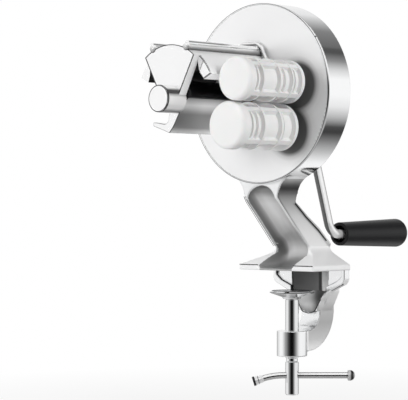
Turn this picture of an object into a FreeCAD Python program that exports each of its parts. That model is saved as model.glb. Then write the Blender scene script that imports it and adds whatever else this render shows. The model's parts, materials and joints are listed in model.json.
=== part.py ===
# Cavatelli maker, a hand-cranked dough roller with a turning cutter, clamped to a table edge.
# Millimetres. X runs to the right, Y from the rollers towards the crank, Z up.
# The origin is where the axis of the clamp screw meets the underside of the foot.
import FreeCAD, Part
import math
import os
import re
import Sketcher
from FreeCAD import Placement, Rotation, Vector

os.makedirs("parts", exist_ok=True)
doc = FreeCAD.newDocument("CavatelliMaker")
sheet = doc.addObject("Spreadsheet::Sheet", "Sizes")

SIZES = {
    # how far a cutting tool runs past the metal, and a small broken edge
    "over": 1, "edge_bevel": 0.8,
    # gear drum
    "drum_radius": 76, "drum_front": -44, "drum_depth": 29, "drum_rise": 149.6, "drum_wall": 4,
    "drum_edge": 2.2, "cover_thick": 3, "cover_round": 1, "seat_gap": 0.05,
    # axis of the crank, the main gear and the cutter
    "crank_x": -17.3, "crank_z": 141.9, "shaft_radius": 5, "shaft_front": -142.5, "shaft_back": 45,
    "bush_radius": 8, "bush_flange": 2.5, "bush_flange_thick": 1.5,
    "back_boss_radius": 14, "back_boss_length": 20,
    # roller axes, set by the centre distances of the gears
    "low_centres": 54, "low_angle": -23.96, "up_centres": 38, "up_angle": 76.9,
    "axle_radius": 4, "axle_back": -19.5, "axle_bush_radius": 6.5, "axle_boss_radius": 9.5,
    "axle_boss_length": 7, "flat_depth": 1,
    # gears
    "gear_module": 2, "main_teeth": 35, "roller_teeth": 19, "gear_front": -36, "gear_width": 10,
    "tooth_reach": 0.8, "tooth_root": 1, "pressure_angle": 25, "tooth_slack": 0.12,
    "key_width": 3, "key_height": 3, "clip_radius": 6.5, "clip_thick": 1.2,
    "clip_gap": 0.5, "clip_mouth": 3, "window_radius": 6.5, "window_ring": 20,
    # rollers
    "roller_front": -120.5, "roller_length": 67.5, "up_radius": 17.7, "low_radius": 19.4,
    "up_cap": 8, "low_cap": 9.5, "cap_round": 3.5, "core_share": 0.78, "step_share": 0.92,
    "bar_width": 4.2, "bar_start": 4, "bar_drop": 0.5,
    "ring_thick": 2.2, "thin_ring": 1.4, "flange_thick": 3.5,
    "axle_end_gap": 8,
    # front bracket: hub, fan web, hood, ribs and rear flange
    "hub_radius": 11, "hub_front": -147, "web_front": -134, "web_back": -125.5, "hub_wall": 3.5,
    "fan_x": 27, "fan_z": 34.8, "fan_foot_x": 10.6, "fan_foot_z": 3,
    "hood_radius": 44, "hood_inner": 40, "tip_angle": 64, "tip_reach": 34.9, "tip_mid": 36,
    "tip_mid_angle": 55, "tip_root_angle": 47,
    "rib_angle": 24, "rib_radius": 49.2, "rib_half": 2.4, "rib_foot": 42, "rib_crown": 1.05,
    "flange_reach": 46.3, "flange_bore": 36.5, "flange_angle": 65, "bracket_flange": 2,
    "ear_reach": 50, "ear_half": 4.3,
    # cutter
    "tube_radius": 12.5, "cutter_front": -125, "cutter_back": -47, "cutter_pin_radius": 1.5,
    "cutter_pin_place": -60, "pin_inset": 0.5,
    # cutter blade: neck, hollow, lip and heel, measured from the shaft's axis
    "blade_top": -8, "blade_neck_x": -6, "blade_shoulder_x": -8.8, "blade_shoulder_z": -11.2,
    "blade_hollow_x": -10.1, "blade_hollow_z": -17.5, "blade_bend_x": -13.3, "blade_bend_z": -19.8,
    "blade_bend": 4, "blade_lip_x": -23.2, "blade_lip_z": -18.1, "blade_tip_x": -27.2,
    "blade_tip_z": -18, "blade_edge_z": -20.8, "blade_heel_x": -8.8, "blade_heel_z": -27.4,
    "blade_root_x": 2.9, "blade_root_z": -11.9,
    # fasteners
    "screw_radius": 1.5, "screw_head": 3.2, "screw_head_deep": 2.2, "slot_width": 0.8,
    "post_radius": 4.6, "post_ring": 66, "post_start": -16, "cover_screw_length": 12,
    "bracket_screw_length": 12, "bracket_screw_ring": 45.2,
    # crank
    "crank_hub_radius": 11, "crank_hub_front": 28, "crank_hub_length": 18, "arm_plane": 37.5,
    "arm_radius": 4, "arm_swing": 15, "crank_throw": 115.5, "elbow_radius": 10, "arm_root": 6.5,
    "arm_end": 127, "grub_radius": 2, "grub_length": 5, "hub_edge": 1, "hub_round": 2,
    "grip_front": 49, "grip_back": 135, "grip_near": 10.2, "grip_far": 12.7, "grip_round": 5,
    "grip_mouth": 7.6, "grip_mouth_deep": 10, "grip_well": 6.5, "grip_well_start": 121,
    "grip_cap_thick": 4, "nut_radius": 5.8, "nut_front": 122, "nut_thick": 4,
    "nut_round": 1,
    # leg and foot
    "leg_half": 19, "foot_half": 41, "foot_front": -22, "foot_back": 29, "foot_thick": 4.6,
    "side_lean": 28.4, "side_round": 7, "flare_radius": 20, "leg_top": 90,
    "leg_span": 100, "leg_corner_z": 66,
    "toe_y": -2.9, "toe_z": 12.9, "shin_y": -1.3, "shin_z": 20.9, "toe_radius": 5,
    "leg_front": -40.7, "leg_front_z": 61.6, "leg_back": -17.4, "leg_back_z": 57.5,
    "heel_z": 22, "calf_y": 13.1, "calf_z": 35.9, "upper_calf_y": -3.9, "upper_calf_z": 47.4,
    "plate_front": 22, "rebate": 2, "trough_radius": 17.5, "trough_deep": 8.5,
    "trough_lean": 44, "trough_end": 58, "mouth_half": 18.5, "mouth_floor": 1.2,
    "mouth_back": 9, "mouth_back_z": 20, "mouth_round": 14, "mouth_rise": 4,
    # clamp frame
    "arm_half": 10.5, "clamp_back": 44.7, "clamp_inner": 25.5, "clamp_bottom": -70,
    "arm_foot": 9.7, "arm_back_z": -28, "arm_front_z": -30, "clamp_inner_z": -37.1,
    "neck_y": 40, "neck_z": 4, "head_y": 34, "head_z": 16,
    "nut_boss_radius": 13, "nut_boss_top": -52.1, "nut_boss_bottom": -74, "inner_bend": 15,
    "outer_bend": 35, "spine_back": 42, "spine_half": 19, "spine_low": -19, "plate_half": 40,
    "plate_side": -7, "plate_low": -36, "plate_neck_x": 12.5, "plate_neck_z": -27, "plate_mid_x": 22,
    "plate_mid_z": -19.5, "plate_corner": 5.5, "plate_corner_z": -13.5,
    "plate_round": 7, "pocket_half": 16, "pocket_foot": 8, "pocket_low": -30, "pocket_back": 38,
    "pocket_sill": 29, "pocket_wide_z": -20, "pocket_bottom": -40, "pocket_rise_z": -22,
    "tray_half": 36.5, "tray_deep": 2.5, "tray_low": -16.2, "tray_corner_z": -10, "tray_side": -5.5,
    # clamp screw, pad and tommy bar
    "screw_shaft": 5.8, "screw_bottom": -107.4, "screw_top": -25, "screw_tip": 3.5,
    "screw_tip_top": -20.1, "neck_radius": 5, "neck_top": -74.9, "neck_bottom": -79.2,
    "pad_radius": 19, "pad_rim": -18, "pad_bottom": -24.9, "pad_dish": -21.6,
    "pad_slack": 0.1, "pad_foot": 7.5, "pad_knee": 8.5, "pad_knee_rise": 1.6, "pad_lip": 1,
    "pad_clip_radius": 5.4, "pad_clip_thick": 1, "screw_bevel": 1,
    "tommy_radius": 2.65, "tommy_z": -90.6, "tommy_turn": 42.77, "tommy_right": 48,
    "tommy_straight": 7, "tommy_bend": 60, "tommy_bend_turn": 17, "knob_radius": 4.6,
    "knob_set": 0.35, "ferrule_radius": 4, "ferrule_length": 9, "ferrule_wall": 0.4,
    "ferrule_rim": 1.2, "ferrule_well": 1.5,
}
for number, (alias, size) in enumerate(SIZES.items(), 1):
    sheet.set(f"A{number}", alias)
    sheet.set(f"B{number}", str(size))
    sheet.setAlias(f"B{number}", alias)
doc.recompute()

ALONG_Z = Rotation()
ALONG_Y = Rotation(Vector(1, 0, 0), -90)
ALONG_X = Rotation(Vector(0, 1, 0), 90)
FRONT = Rotation(Vector(1, 0, 0), 90)
SIDE = Rotation(Vector(1, 1, 1), 120)
ORIGIN = ("0", "0", "0")
POSTS = 5
MADE = []

CRANK = ("crank_x", "crank_z")
LOWER = ("crank_x + low_centres * cos(low_angle)", "crank_z + low_centres * sin(low_angle)")
UPPER = (LOWER[0] + " + up_centres * cos(up_angle)", LOWER[1] + " + up_centres * sin(up_angle)")
DRUM_BACK = "drum_front + drum_depth"
COVER_FRONT = "drum_front + drum_depth - cover_thick"
WALL_BACK = "drum_front + drum_wall"


def cells(words):
    """The same sum with every name looked up in the sheet."""
    return re.sub(r"\b([a-z]+(?:_[a-z]+)*)\b(?!\()", r"Sizes.\1", words)


def value(words):
    answer = sheet.evalExpression(cells(words))
    return float(getattr(answer, "Value", answer))


def node(label, piece):
    """Names a finished sub-part and lists it for the export."""
    piece.Label = label
    MADE.append(piece)
    return piece


def place(piece, spot, turn):
    piece.Placement = Placement(Vector(), turn)
    for axis, words in zip("xyz", spot):
        piece.setExpression("Placement.Base." + axis, cells(words))
    return piece


def on(axis, along):
    """A point at the height along Y on one of the axes that run front to back."""
    return (axis[0], along, axis[1])


def cylinder(name, radius, length, spot, turn=ALONG_Y):
    piece = doc.addObject("Part::Cylinder", name)
    piece.setExpression("Radius", cells(radius))
    piece.setExpression("Height", cells(length))
    return place(piece, spot, turn)


def block(name, sizes, spot, turn=ALONG_Z):
    piece = doc.addObject("Part::Box", name)
    for side, words in zip(("Length", "Width", "Height"), sizes):
        piece.setExpression(side, cells(words))
    return place(piece, spot, turn)


def join(name, *pieces):
    union = doc.addObject("Part::MultiFuse", name)
    union.Shapes = list(pieces)
    union.Refine = True
    return union


def group(name, pieces):
    kept = doc.addObject("Part::Compound", name)
    kept.Links = list(pieces)
    return kept


def carve(name, base, *tools):
    difference = doc.addObject("Part::Cut", name)
    difference.Base = base
    difference.Tool = tools[0] if len(tools) == 1 else join(name + "_tools", *tools)
    difference.Refine = True
    return difference


def overlap(name, first, second):
    shared = doc.addObject("Part::MultiCommon", name)
    shared.Shapes = [first, second]
    shared.Refine = True
    return shared


def draw(sketch, corners):
    """Closes a line through the corners and binds each to the sheet.

    A third entry is the radius of the arc that reaches the corner, and a minus sign before it
    makes that arc turn clockwise.
    """
    spots = [Vector(value(corner[0]), value(corner[1]), 0) for corner in corners]
    ends = []
    for index, corner in enumerate(corners):
        start, end = spots[index - 1], spots[index]
        if len(corner) == 2:
            sketch.addGeometry(Part.LineSegment(start, end), False)
            ends.append((1, 2))
            continue
        clockwise = corner[2].startswith("-")
        radius = value(corner[2].lstrip("-"))
        first, last = (end, start) if clockwise else (start, end)
        chord = last - first
        rise = math.sqrt(max(0, radius ** 2 - (chord.Length / 2) ** 2))
        centre = first + chord / 2 + Vector(-chord.y, chord.x, 0).normalize() * rise
        angles = [math.atan2(spot.y - centre.y, spot.x - centre.x) for spot in (first, last)]
        circle = Part.Circle(centre, Vector(0, 0, 1), radius)
        sketch.addGeometry(Part.ArcOfCircle(circle, *angles), False)
        ends.append((2, 1) if clockwise else (1, 2))
    count = len(corners)
    for index, corner in enumerate(corners):
        following = (index + 1) % count
        sketch.addConstraint(Sketcher.Constraint(
            "Coincident", index, ends[index][1], following, ends[following][0]))
        for kind, words, size in zip(("DistanceX", "DistanceY"), corner, spots[index]):
            number = sketch.addConstraint(Sketcher.Constraint(
                kind, -1, 1, index, ends[index][1], size))
            sketch.setExpression(f"Constraints[{number}]", cells(words))
        if len(corner) == 3:
            radius = corner[2].lstrip("-")
            number = sketch.addConstraint(Sketcher.Constraint("Radius", index, value(radius)))
            sketch.setExpression(f"Constraints[{number}]", cells(radius))


def sketched_body(name, corners, role):
    body = doc.addObject("PartDesign::Body", name)
    sketch = body.newObject("Sketcher::SketchObject", name + "_outline")
    plane = next(one for one in body.Origin.OriginFeatures if one.Role == role)
    sketch.AttachmentSupport = [(plane, "")]
    sketch.MapMode = "FlatFace"
    draw(sketch, corners)
    return body, sketch


def turned(name, profile, spot, turn=ALONG_Y):
    """A lathe part: each corner of the profile is a radius and a distance along the axis."""
    body, sketch = sketched_body(name, profile, "XZ_Plane")
    revolution = body.newObject("PartDesign::Revolution", name + "_turning")
    revolution.Profile = sketch
    revolution.ReferenceAxis = (sketch, ["V_Axis"])
    revolution.Angle = 360
    return place(body, spot, turn)


def prism(name, corners, length, spot, view):
    """A flat outline given depth: FRONT pads towards -Y, SIDE towards +X."""
    body, sketch = sketched_body(name, corners, "XY_Plane")
    pad = body.newObject("PartDesign::Pad", name + "_depth")
    pad.Profile = sketch
    pad.setExpression("Length", cells(length))
    return place(body, spot, view)


def feature(name, shape, placement=None):
    piece = doc.addObject("Part::Feature", name)
    piece.Shape = shape
    if placement is not None:
        piece.Placement = placement
    return piece


def mirrored(corners):
    """Corners given from the bottom right upwards, with their mirror images to close them.

    The arcs on the mirrored side turn the same way, and each is met from its other end.
    """
    left = []
    for index in range(len(corners) - 1, -1, -1):
        x, z = corners[index][:2]
        arc = corners[index + 1][2:] if index + 1 < len(corners) else ()
        left.append((f"-({x})", z) + tuple(arc))
    return corners + left


def polar(radius, angle, sideways="0"):
    """A corner at a radius and an angle from straight up, shifted at right angles to it."""
    return (f"{radius} * sin({angle}) + {sideways} * cos({angle})",
            f"{radius} * cos({angle}) - {sideways} * sin({angle})")


def slotted_screw(name, spot, length, turn):
    """A cheese-head screw whose head stands behind the spot, with its shank ahead of it."""
    screw = turned(name + "_blank", [
        ("0", "-screw_head_deep"), ("screw_head", "-screw_head_deep"), ("screw_head", "0"),
        ("screw_radius", "0"), ("screw_radius", length), ("0", length)], ORIGIN, ALONG_Z)
    slot = block(name + "_slot", ("3 * screw_head", "slot_width", "screw_head_deep / 2"),
                 ("-1.5 * screw_head", "-slot_width / 2", "-screw_head_deep"))
    return place(carve(name, screw, slot), spot, turn)


def gear_blank(teeth, width, first_tooth):
    """An involute gear about Z with one tooth centred on the angle first_tooth."""
    module = value("gear_module")
    pitch = teeth * module / 2
    base = pitch * math.cos(math.radians(value("pressure_angle")))
    tip = pitch + module * value("tooth_reach")
    root = pitch - module * value("tooth_root")
    half_tooth = math.pi / (2 * teeth) - value("tooth_slack") / (4 * pitch)

    def involute(radius):
        lean = math.acos(base / radius)
        return math.tan(lean) - lean

    def spot(radius, angle):
        return Vector(radius * math.cos(angle), radius * math.sin(angle), 0)

    flank_start = max(base, root)
    steps = 5
    radii = [flank_start + (tip - flank_start) * step / steps for step in range(steps + 1)]
    spreads = [half_tooth + involute(pitch) - involute(radius) for radius in radii]
    edges = []
    for tooth in range(teeth):
        middle = first_tooth + tooth * 2 * math.pi / teeth
        gap = middle + math.pi / teeth
        rising = [spot(radius, middle - spread) for radius, spread in zip(radii, spreads)]
        falling = [spot(radius, middle + spread) for radius, spread in zip(radii, spreads)]
        root_in = spot(root, middle - spreads[0])
        root_out = spot(root, middle + spreads[0])
        next_root = spot(root, middle + 2 * math.pi / teeth - spreads[0])
        for points in (rising, falling[::-1]):
            curve = Part.BSplineCurve()
            curve.interpolate(points)
            edges.append(curve.toShape())
        edges.append(Part.Arc(rising[-1], spot(tip, middle), falling[-1]).toShape())
        edges.append(Part.Arc(root_out, spot(root, gap), next_root).toShape())
        if flank_start > root:
            edges.append(Part.makeLine(root_in, rising[0]))
            edges.append(Part.makeLine(falling[0], root_out))
    outline = Part.Wire(Part.__sortEdges__(edges))
    return Part.Face(outline).extrude(Vector(0, 0, width))


def make_housing():
    """Drum with its front wall, bosses for the shafts and posts for the cover's screws."""
    cup = turned("drum_cup", [
        ("0", "0"), ("drum_radius - drum_edge", "0"), ("drum_radius", "drum_edge", "drum_edge"),
        ("drum_radius", "drum_depth - cover_thick"),
        ("drum_radius - drum_wall", "drum_depth - cover_thick"),
        ("drum_radius - drum_wall", "drum_wall"), ("0", "drum_wall")],
        ("0", "drum_front", "drum_rise"))
    solids = [cup]
    holes = [cylinder("main_bush_hole", "bush_radius", "drum_wall + 2 * over",
                      on(CRANK, "drum_front - over"))]
    for name, axis in (("upper", UPPER), ("lower", LOWER)):
        solids.append(cylinder(name + "_axle_boss", "axle_boss_radius", "axle_boss_length + over",
                               on(axis, "drum_front - axle_boss_length")))
        holes.append(cylinder(name + "_axle_hole", "axle_bush_radius",
                              "axle_boss_length + drum_wall + 2 * over",
                              on(axis, "drum_front - axle_boss_length - over")))
    for number, (x, z) in enumerate(post_spots()):
        solids.append(cylinder(f"post_{number}", "post_radius",
                               "drum_depth - cover_thick - drum_wall + over",
                               (x, WALL_BACK + " - over", z)))
        holes.append(cylinder(f"post_hole_{number}", "screw_radius", "cover_screw_length",
                              (x, COVER_FRONT + " - cover_screw_length + cover_thick", z)))
    for number, (x, z) in enumerate(bracket_screw_spots()):
        holes.append(cylinder(f"bracket_hole_{number}", "screw_radius", "drum_wall + 2 * over",
                              (x, "drum_front - over", z)))
    node("gear_housing", carve("gear_housing", join("drum_solid", *solids), *holes))


def post_spots():
    angles = [f"post_start + {number} * 360 / {POSTS}" for number in range(POSTS)]
    return [(f"post_ring * cos({angle})", f"drum_rise + post_ring * sin({angle})")
            for angle in angles]


def bracket_screw_spots():
    return [(f"crank_x + {side} * bracket_screw_ring * sin(rib_angle)",
             "crank_z + bracket_screw_ring * cos(rib_angle)") for side in ("-1", "1")]


def make_back_cover():
    """Disc that closes the drum, with the boss that carries the back of the crank shaft."""
    disc = turned("cover_disc", [
        ("0", "0"), ("drum_radius", "0"), ("drum_radius", "cover_thick - cover_round"),
        ("drum_radius - cover_round", "cover_thick", "cover_round"), ("0", "cover_thick")],
        ("0", COVER_FRONT, "drum_rise"))
    boss = cylinder("cover_boss", "back_boss_radius", "cover_thick + back_boss_length",
                    on(CRANK, COVER_FRONT))
    bore = cylinder("cover_bore", "bush_radius", "back_boss_length + cover_thick + 2 * over",
                    on(CRANK, COVER_FRONT + " - over"))
    holes = [cylinder(f"cover_hole_{number}", "screw_radius", "cover_thick + 2 * over",
                      (x, COVER_FRONT + " - over", z)) for number, (x, z) in enumerate(post_spots())]
    node("back_cover", carve("back_cover", join("cover_solid", disc, boss), bore, *holes))
    screws = [slotted_screw(f"cover_screw_{number}", (x, DRUM_BACK, z), "cover_screw_length", FRONT)
              for number, (x, z) in enumerate(post_spots())]
    node("cover_screws", group("cover_screws", screws))


def flanged_bush(label, axis, start, length, outer, inner, turn=ALONG_Y):
    """Plain bearing with its flange at the start."""
    node(label, turned(label, [
        (f"{inner} + seat_gap", "0"), (f"{outer} + bush_flange", "0"),
        (f"{outer} + bush_flange", "bush_flange_thick"), (outer, "bush_flange_thick"), (outer, length),
        (f"{inner} + seat_gap", length)], on(axis, start), turn))


def make_bushes():
    """Bearings of the crank shaft and of the two roller axles."""
    node("front_bush", turned("front_bush", [
        ("shaft_radius + seat_gap", "0"), ("bush_radius", "0"),
        ("bush_radius", "web_back - hub_front - hub_wall"),
        ("shaft_radius + seat_gap", "web_back - hub_front - hub_wall")],
        on(CRANK, "hub_front + hub_wall")))
    flanged_bush("main_bush", CRANK, "drum_front - bush_flange_thick",
                 "drum_wall + bush_flange_thick", "bush_radius", "shaft_radius")
    flanged_bush("rear_bush", CRANK, DRUM_BACK + " + back_boss_length + bush_flange_thick",
                 "back_boss_length + cover_thick + bush_flange_thick", "bush_radius",
                 "shaft_radius", FRONT)
    for side, axis in (("upper", UPPER), ("lower", LOWER)):
        flanged_bush(f"{side}_roller_bush", axis,
                     "drum_front - axle_boss_length - bush_flange_thick",
                     "axle_boss_length + drum_wall + bush_flange_thick", "axle_bush_radius",
                     "axle_radius")


def make_bracket():
    """Casting that holds the front end of the crank shaft and hoods the cutter."""
    hub = cylinder("bracket_hub", "hub_radius", "web_back - hub_front", on(CRANK, "hub_front"))
    fan = prism("bracket_fan", [
        ("-fan_foot_x", "fan_foot_z"), ("fan_foot_x", "fan_foot_z"), ("fan_x", "fan_z"),
        ("-fan_x", "fan_z", "sqrt(fan_x ^ 2 + fan_z ^ 2)")],
        "web_back - web_front", on(CRANK, "web_back"), FRONT)
    right_tip = [polar("hood_radius", "tip_angle"), polar("tip_reach", "tip_angle"),
                 polar("tip_mid", "tip_mid_angle"), polar("hood_inner", "tip_root_angle")]
    left_tip = [("-(" + x + ")", z) for x, z in right_tip[::-1]]
    left_tip[0] += ("hood_inner",)
    right_tip[0] += ("-hood_radius",)
    hood = prism("bracket_hood", right_tip + left_tip,
                 "drum_front - web_back - bracket_flange + over",
                 on(CRANK, "drum_front - bracket_flange"), FRONT)
    solids = [hub, fan, hood]
    for name, angle in (("left", "-rib_angle"), ("right", "rib_angle")):
        for part, half, reach, front, back in (
                ("rib", "rib_half", "rib_radius", "web_front", "drum_front - over"),
                ("ear", "ear_half", "ear_reach", "drum_front - bracket_flange", "drum_front")):
            outline = [polar("rib_foot", angle, half), polar(reach, angle, half),
                       polar(reach, angle, "-" + half) + ("rib_crown * " + half,),
                       polar("rib_foot", angle, "-" + half)]
            solids.append(prism(f"{name}_{part}", outline, f"{back} - ({front})",
                                on(CRANK, back), FRONT))
    solids.append(flange_ring())
    bores = [cylinder("bracket_bore", "bush_radius", "web_back - hub_front - hub_wall + over",
                      on(CRANK, "hub_front + hub_wall"))]
    for number, (x, z) in enumerate(bracket_screw_spots()):
        bores.append(cylinder(f"bracket_thread_{number}", "screw_radius",
                              "bracket_screw_length - drum_wall + over",
                              (x, "drum_front - bracket_screw_length + drum_wall", z)))
    node("front_bracket", carve("front_bracket", join("bracket_solid", *solids), *bores))
    screws = [slotted_screw(f"bracket_screw_{number}", (x, WALL_BACK, z),
                            "bracket_screw_length", FRONT)
              for number, (x, z) in enumerate(bracket_screw_spots())]
    node("bracket_screws", group("bracket_screws", screws))


def sector(name, outer, inner, angle, length, spot):
    """Part of a ring about the crank axis, the same angle to each side of straight up."""
    ring = cylinder(name + "_outer", outer, length, spot)
    ring.setExpression("Angle", cells(f"2 * {angle}"))
    turn = ALONG_Y.multiply(Rotation(Vector(0, 0, 1), -90 - value(angle)))
    place(ring, spot, turn)
    return carve(name, ring, cylinder(name + "_inner", inner, f"{length} + 2 * over",
                                      (spot[0], spot[1] + " - over", spot[2])))


def flange_ring():
    return sector("hood_flange", "flange_reach", "flange_bore", "flange_angle",
                  "bracket_flange", on(CRANK, "drum_front - bracket_flange"))


def make_crank_shaft():
    """Shaft from the front bracket to the crank, with the big gear and its key."""
    bar = turned("shaft_bar", [
        ("0", "shaft_front"), ("shaft_radius - edge_bevel", "shaft_front"),
        ("shaft_radius", "shaft_front + edge_bevel"), ("shaft_radius", "shaft_back - edge_bevel"),
        ("shaft_radius - edge_bevel", "shaft_back"), ("0", "shaft_back")], on(CRANK, "0"))
    key_size = ("key_width", "gear_width", "key_height")
    key_spot = ("crank_x - key_width / 2", "gear_front", "crank_z + shaft_radius - key_height / 2")
    seat = block("key_seat", key_size, key_spot)
    pin_hole = cutter_pin("pin_seat")
    node("main_shaft", carve("main_shaft", bar, seat, pin_hole))
    node("gear_key", block("gear_key", key_size, key_spot))
    away = math.radians(value("low_angle"))
    blank = gear_blank(int(value("main_teeth")), value("gear_width"), -away)
    placed = feature("main_gear_blank", blank, Placement(
        Vector(value("crank_x"), value("gear_front"), value("crank_z")), ALONG_Y))
    bore = cylinder("main_gear_bore", "shaft_radius", "gear_width + 2 * over",
                    on(CRANK, "gear_front - over"))
    keyway = block("main_keyway", key_size, key_spot)
    windows = [cylinder(f"gear_window_{number}", "window_radius", "gear_width + 2 * over",
                        (f"crank_x + window_ring * cos({angle})", "gear_front - over",
                         f"crank_z + window_ring * sin({angle})"))
               for number, angle in enumerate(range(30, 360, 60))]
    node("main_gear", carve("main_gear", placed, bore, keyway, *windows))


def cutter_pin(name):
    return cylinder(name, "cutter_pin_radius", "2 * tube_radius - 2 * pin_inset",
                    ("crank_x - tube_radius + pin_inset", "cutter_pin_place", "crank_z"), ALONG_X)


def make_cutter():
    """Tube on the shaft with one hooked blade that sweeps under the hood."""
    tube = cylinder("cutter_tube", "tube_radius", "cutter_back - cutter_front",
                    on(CRANK, "cutter_front"))
    blade = prism("cutter_blade", [
        ("0", "blade_top"), ("blade_neck_x", "blade_top"), ("blade_shoulder_x", "blade_shoulder_z"),
        ("blade_hollow_x", "blade_hollow_z"), ("blade_bend_x", "blade_bend_z", "-blade_bend"),
        ("blade_lip_x", "blade_lip_z"), ("blade_tip_x", "blade_tip_z"),
        ("blade_tip_x", "blade_edge_z"), ("blade_heel_x", "blade_heel_z"),
        ("blade_root_x", "blade_root_z")],
        "cutter_back - cutter_front", on(CRANK, "cutter_back"), FRONT)
    bore = cylinder("cutter_bore", "shaft_radius", "cutter_back - cutter_front + 2 * over",
                    on(CRANK, "cutter_front - over"))
    pin_hole = cutter_pin("cutter_pin_hole")
    node("cutter", carve("cutter", join("cutter_solid", tube, blade), bore, pin_hole))
    node("cutter_pin", cutter_pin("cutter_pin"))


def roller_profile(radius, cap, rings):
    """Corners from the rounded front cap to the rear flange, with a ring at each place."""
    core = f"core_share * {radius}"
    corners = [("0", "0"), (f"{radius} - cap_round", "0"), (radius, "cap_round", "cap_round"),
               (radius, cap), (core, cap)]
    for middle, thick, share in rings:
        reach = f"{share} * {radius}"
        corners += [(core, f"{middle} - {thick} / 2"), (reach, f"{middle} - {thick} / 2"),
                    (reach, f"{middle} + {thick} / 2"), (core, f"{middle} + {thick} / 2")]
    corners += [(core, "roller_length - flange_thick"), (radius, "roller_length - flange_thick"),
                (radius, "roller_length"), ("axle_radius", "roller_length"),
                ("axle_radius", "axle_end_gap"), ("0", "axle_end_gap")]
    return corners


ROLLER_RINGS = {
    "upper": [("12.5", "thin_ring", "step_share"), ("17.5", "thin_ring", "1"),
              ("38.3", "ring_thick", "1"), ("45.7", "thin_ring", "step_share"),
              ("53.3", "thin_ring", "1"), ("58.3", "thin_ring", "step_share")],
    "lower": [("14.3", "thin_ring", "step_share"), ("20.4", "thin_ring", "step_share"),
              ("27.1", "ring_thick", "1"), ("48.2", "ring_thick", "1"),
              ("52.6", "thin_ring", "step_share")],
}


def make_roller(side, axis, radius, cap, first_tooth):
    """One white roller with its steel axle, gear and retaining clip."""
    body = turned(side + "_roller_core", roller_profile(radius, cap, ROLLER_RINGS[side]),
                  on(axis, "roller_front"))
    bars = []
    for number in range(4):
        angle = 45 + 90 * number
        turn = Rotation(Vector(0, 1, 0), angle)
        middle = turn.multVec(Vector(-value("bar_width") / 2, 0, value("axle_radius + bar_start")))
        bar = block(f"{side}_bar_{number}",
                    ("bar_width", "roller_length - bar_start",
                     f"{radius} - bar_drop - axle_radius - bar_start"),
                    (f"{axis[0]} + {middle.x}", "roller_front + bar_start",
                     f"{axis[1]} + {middle.z}"),
                    turn)
        bars.append(bar)
    node(side + "_roller", join(side + "_roller", body, *bars))
    axle = cylinder(side + "_axle_bar", "axle_radius", "axle_back - roller_front - axle_end_gap",
                    on(axis, "roller_front + axle_end_gap"))
    flat_spot = (f"{axis[0]} - axle_radius", "gear_front",
                 f"{axis[1]} + axle_radius - flat_depth")
    flat = block(side + "_axle_flat", ("2 * axle_radius", "axle_back - gear_front + over",
                                       "2 * flat_depth"), flat_spot)
    node(side + "_axle", carve(side + "_axle", axle, flat))
    bore = carve(side + "_gear_bore",
                 cylinder(side + "_bore_round", "axle_radius", "gear_width + 2 * over",
                          on(axis, "gear_front - over")),
                 block(side + "_bore_flat", ("2 * axle_radius", "gear_width + 4 * over",
                                             "2 * flat_depth"),
                       (flat_spot[0], "gear_front - 2 * over", flat_spot[2])))
    blank = gear_blank(int(value("roller_teeth")), value("gear_width"), first_tooth)
    placed = feature(side + "_gear_blank", blank, Placement(
        Vector(value(axis[0]), value("gear_front"), value(axis[1])), ALONG_Y))
    node(side + "_gear", carve(side + "_gear", placed, bore))
    clip = cylinder(side + "_clip_disc", "clip_radius", "clip_thick",
                    on(axis, "gear_front + gear_width + clip_gap"))
    clip_bore = join(side + "_clip_hole", carve(
        side + "_clip_bore",
        cylinder(side + "_clip_round", "axle_radius", "clip_thick + 2 * over",
                 on(axis, "gear_front + gear_width + clip_gap - over")),
        block(side + "_clip_flat", ("2 * axle_radius", "clip_thick + 4 * over", "2 * flat_depth"),
              (flat_spot[0], "gear_front + gear_width + clip_gap - 2 * over", flat_spot[2]))),
        block(side + "_clip_mouth", ("clip_mouth", "clip_thick + 2 * over", "clip_radius + over"),
              (f"{axis[0]} - clip_mouth / 2", "gear_front + gear_width + clip_gap - over",
               f"{axis[1]} - clip_radius - over - axle_radius / 2")))
    node(side + "_clip", carve(side + "_clip", clip, clip_bore))


def make_rollers():
    """Tooth angles here turn from X towards -Z, which is how the gears' own plane lies."""
    pitch_angle = 2 * math.pi / value("roller_teeth")
    to_main = math.pi - math.radians(value("low_angle"))
    lower_tooth = to_main + pitch_angle / 2
    to_upper = -math.radians(value("up_angle"))
    to_lower = to_upper + math.pi
    upper_tooth = to_lower + pitch_angle / 2 - (lower_tooth - to_upper)
    make_roller("upper", UPPER, "up_radius", "up_cap", upper_tooth)
    make_roller("lower", LOWER, "low_radius", "low_cap", lower_tooth)


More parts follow.
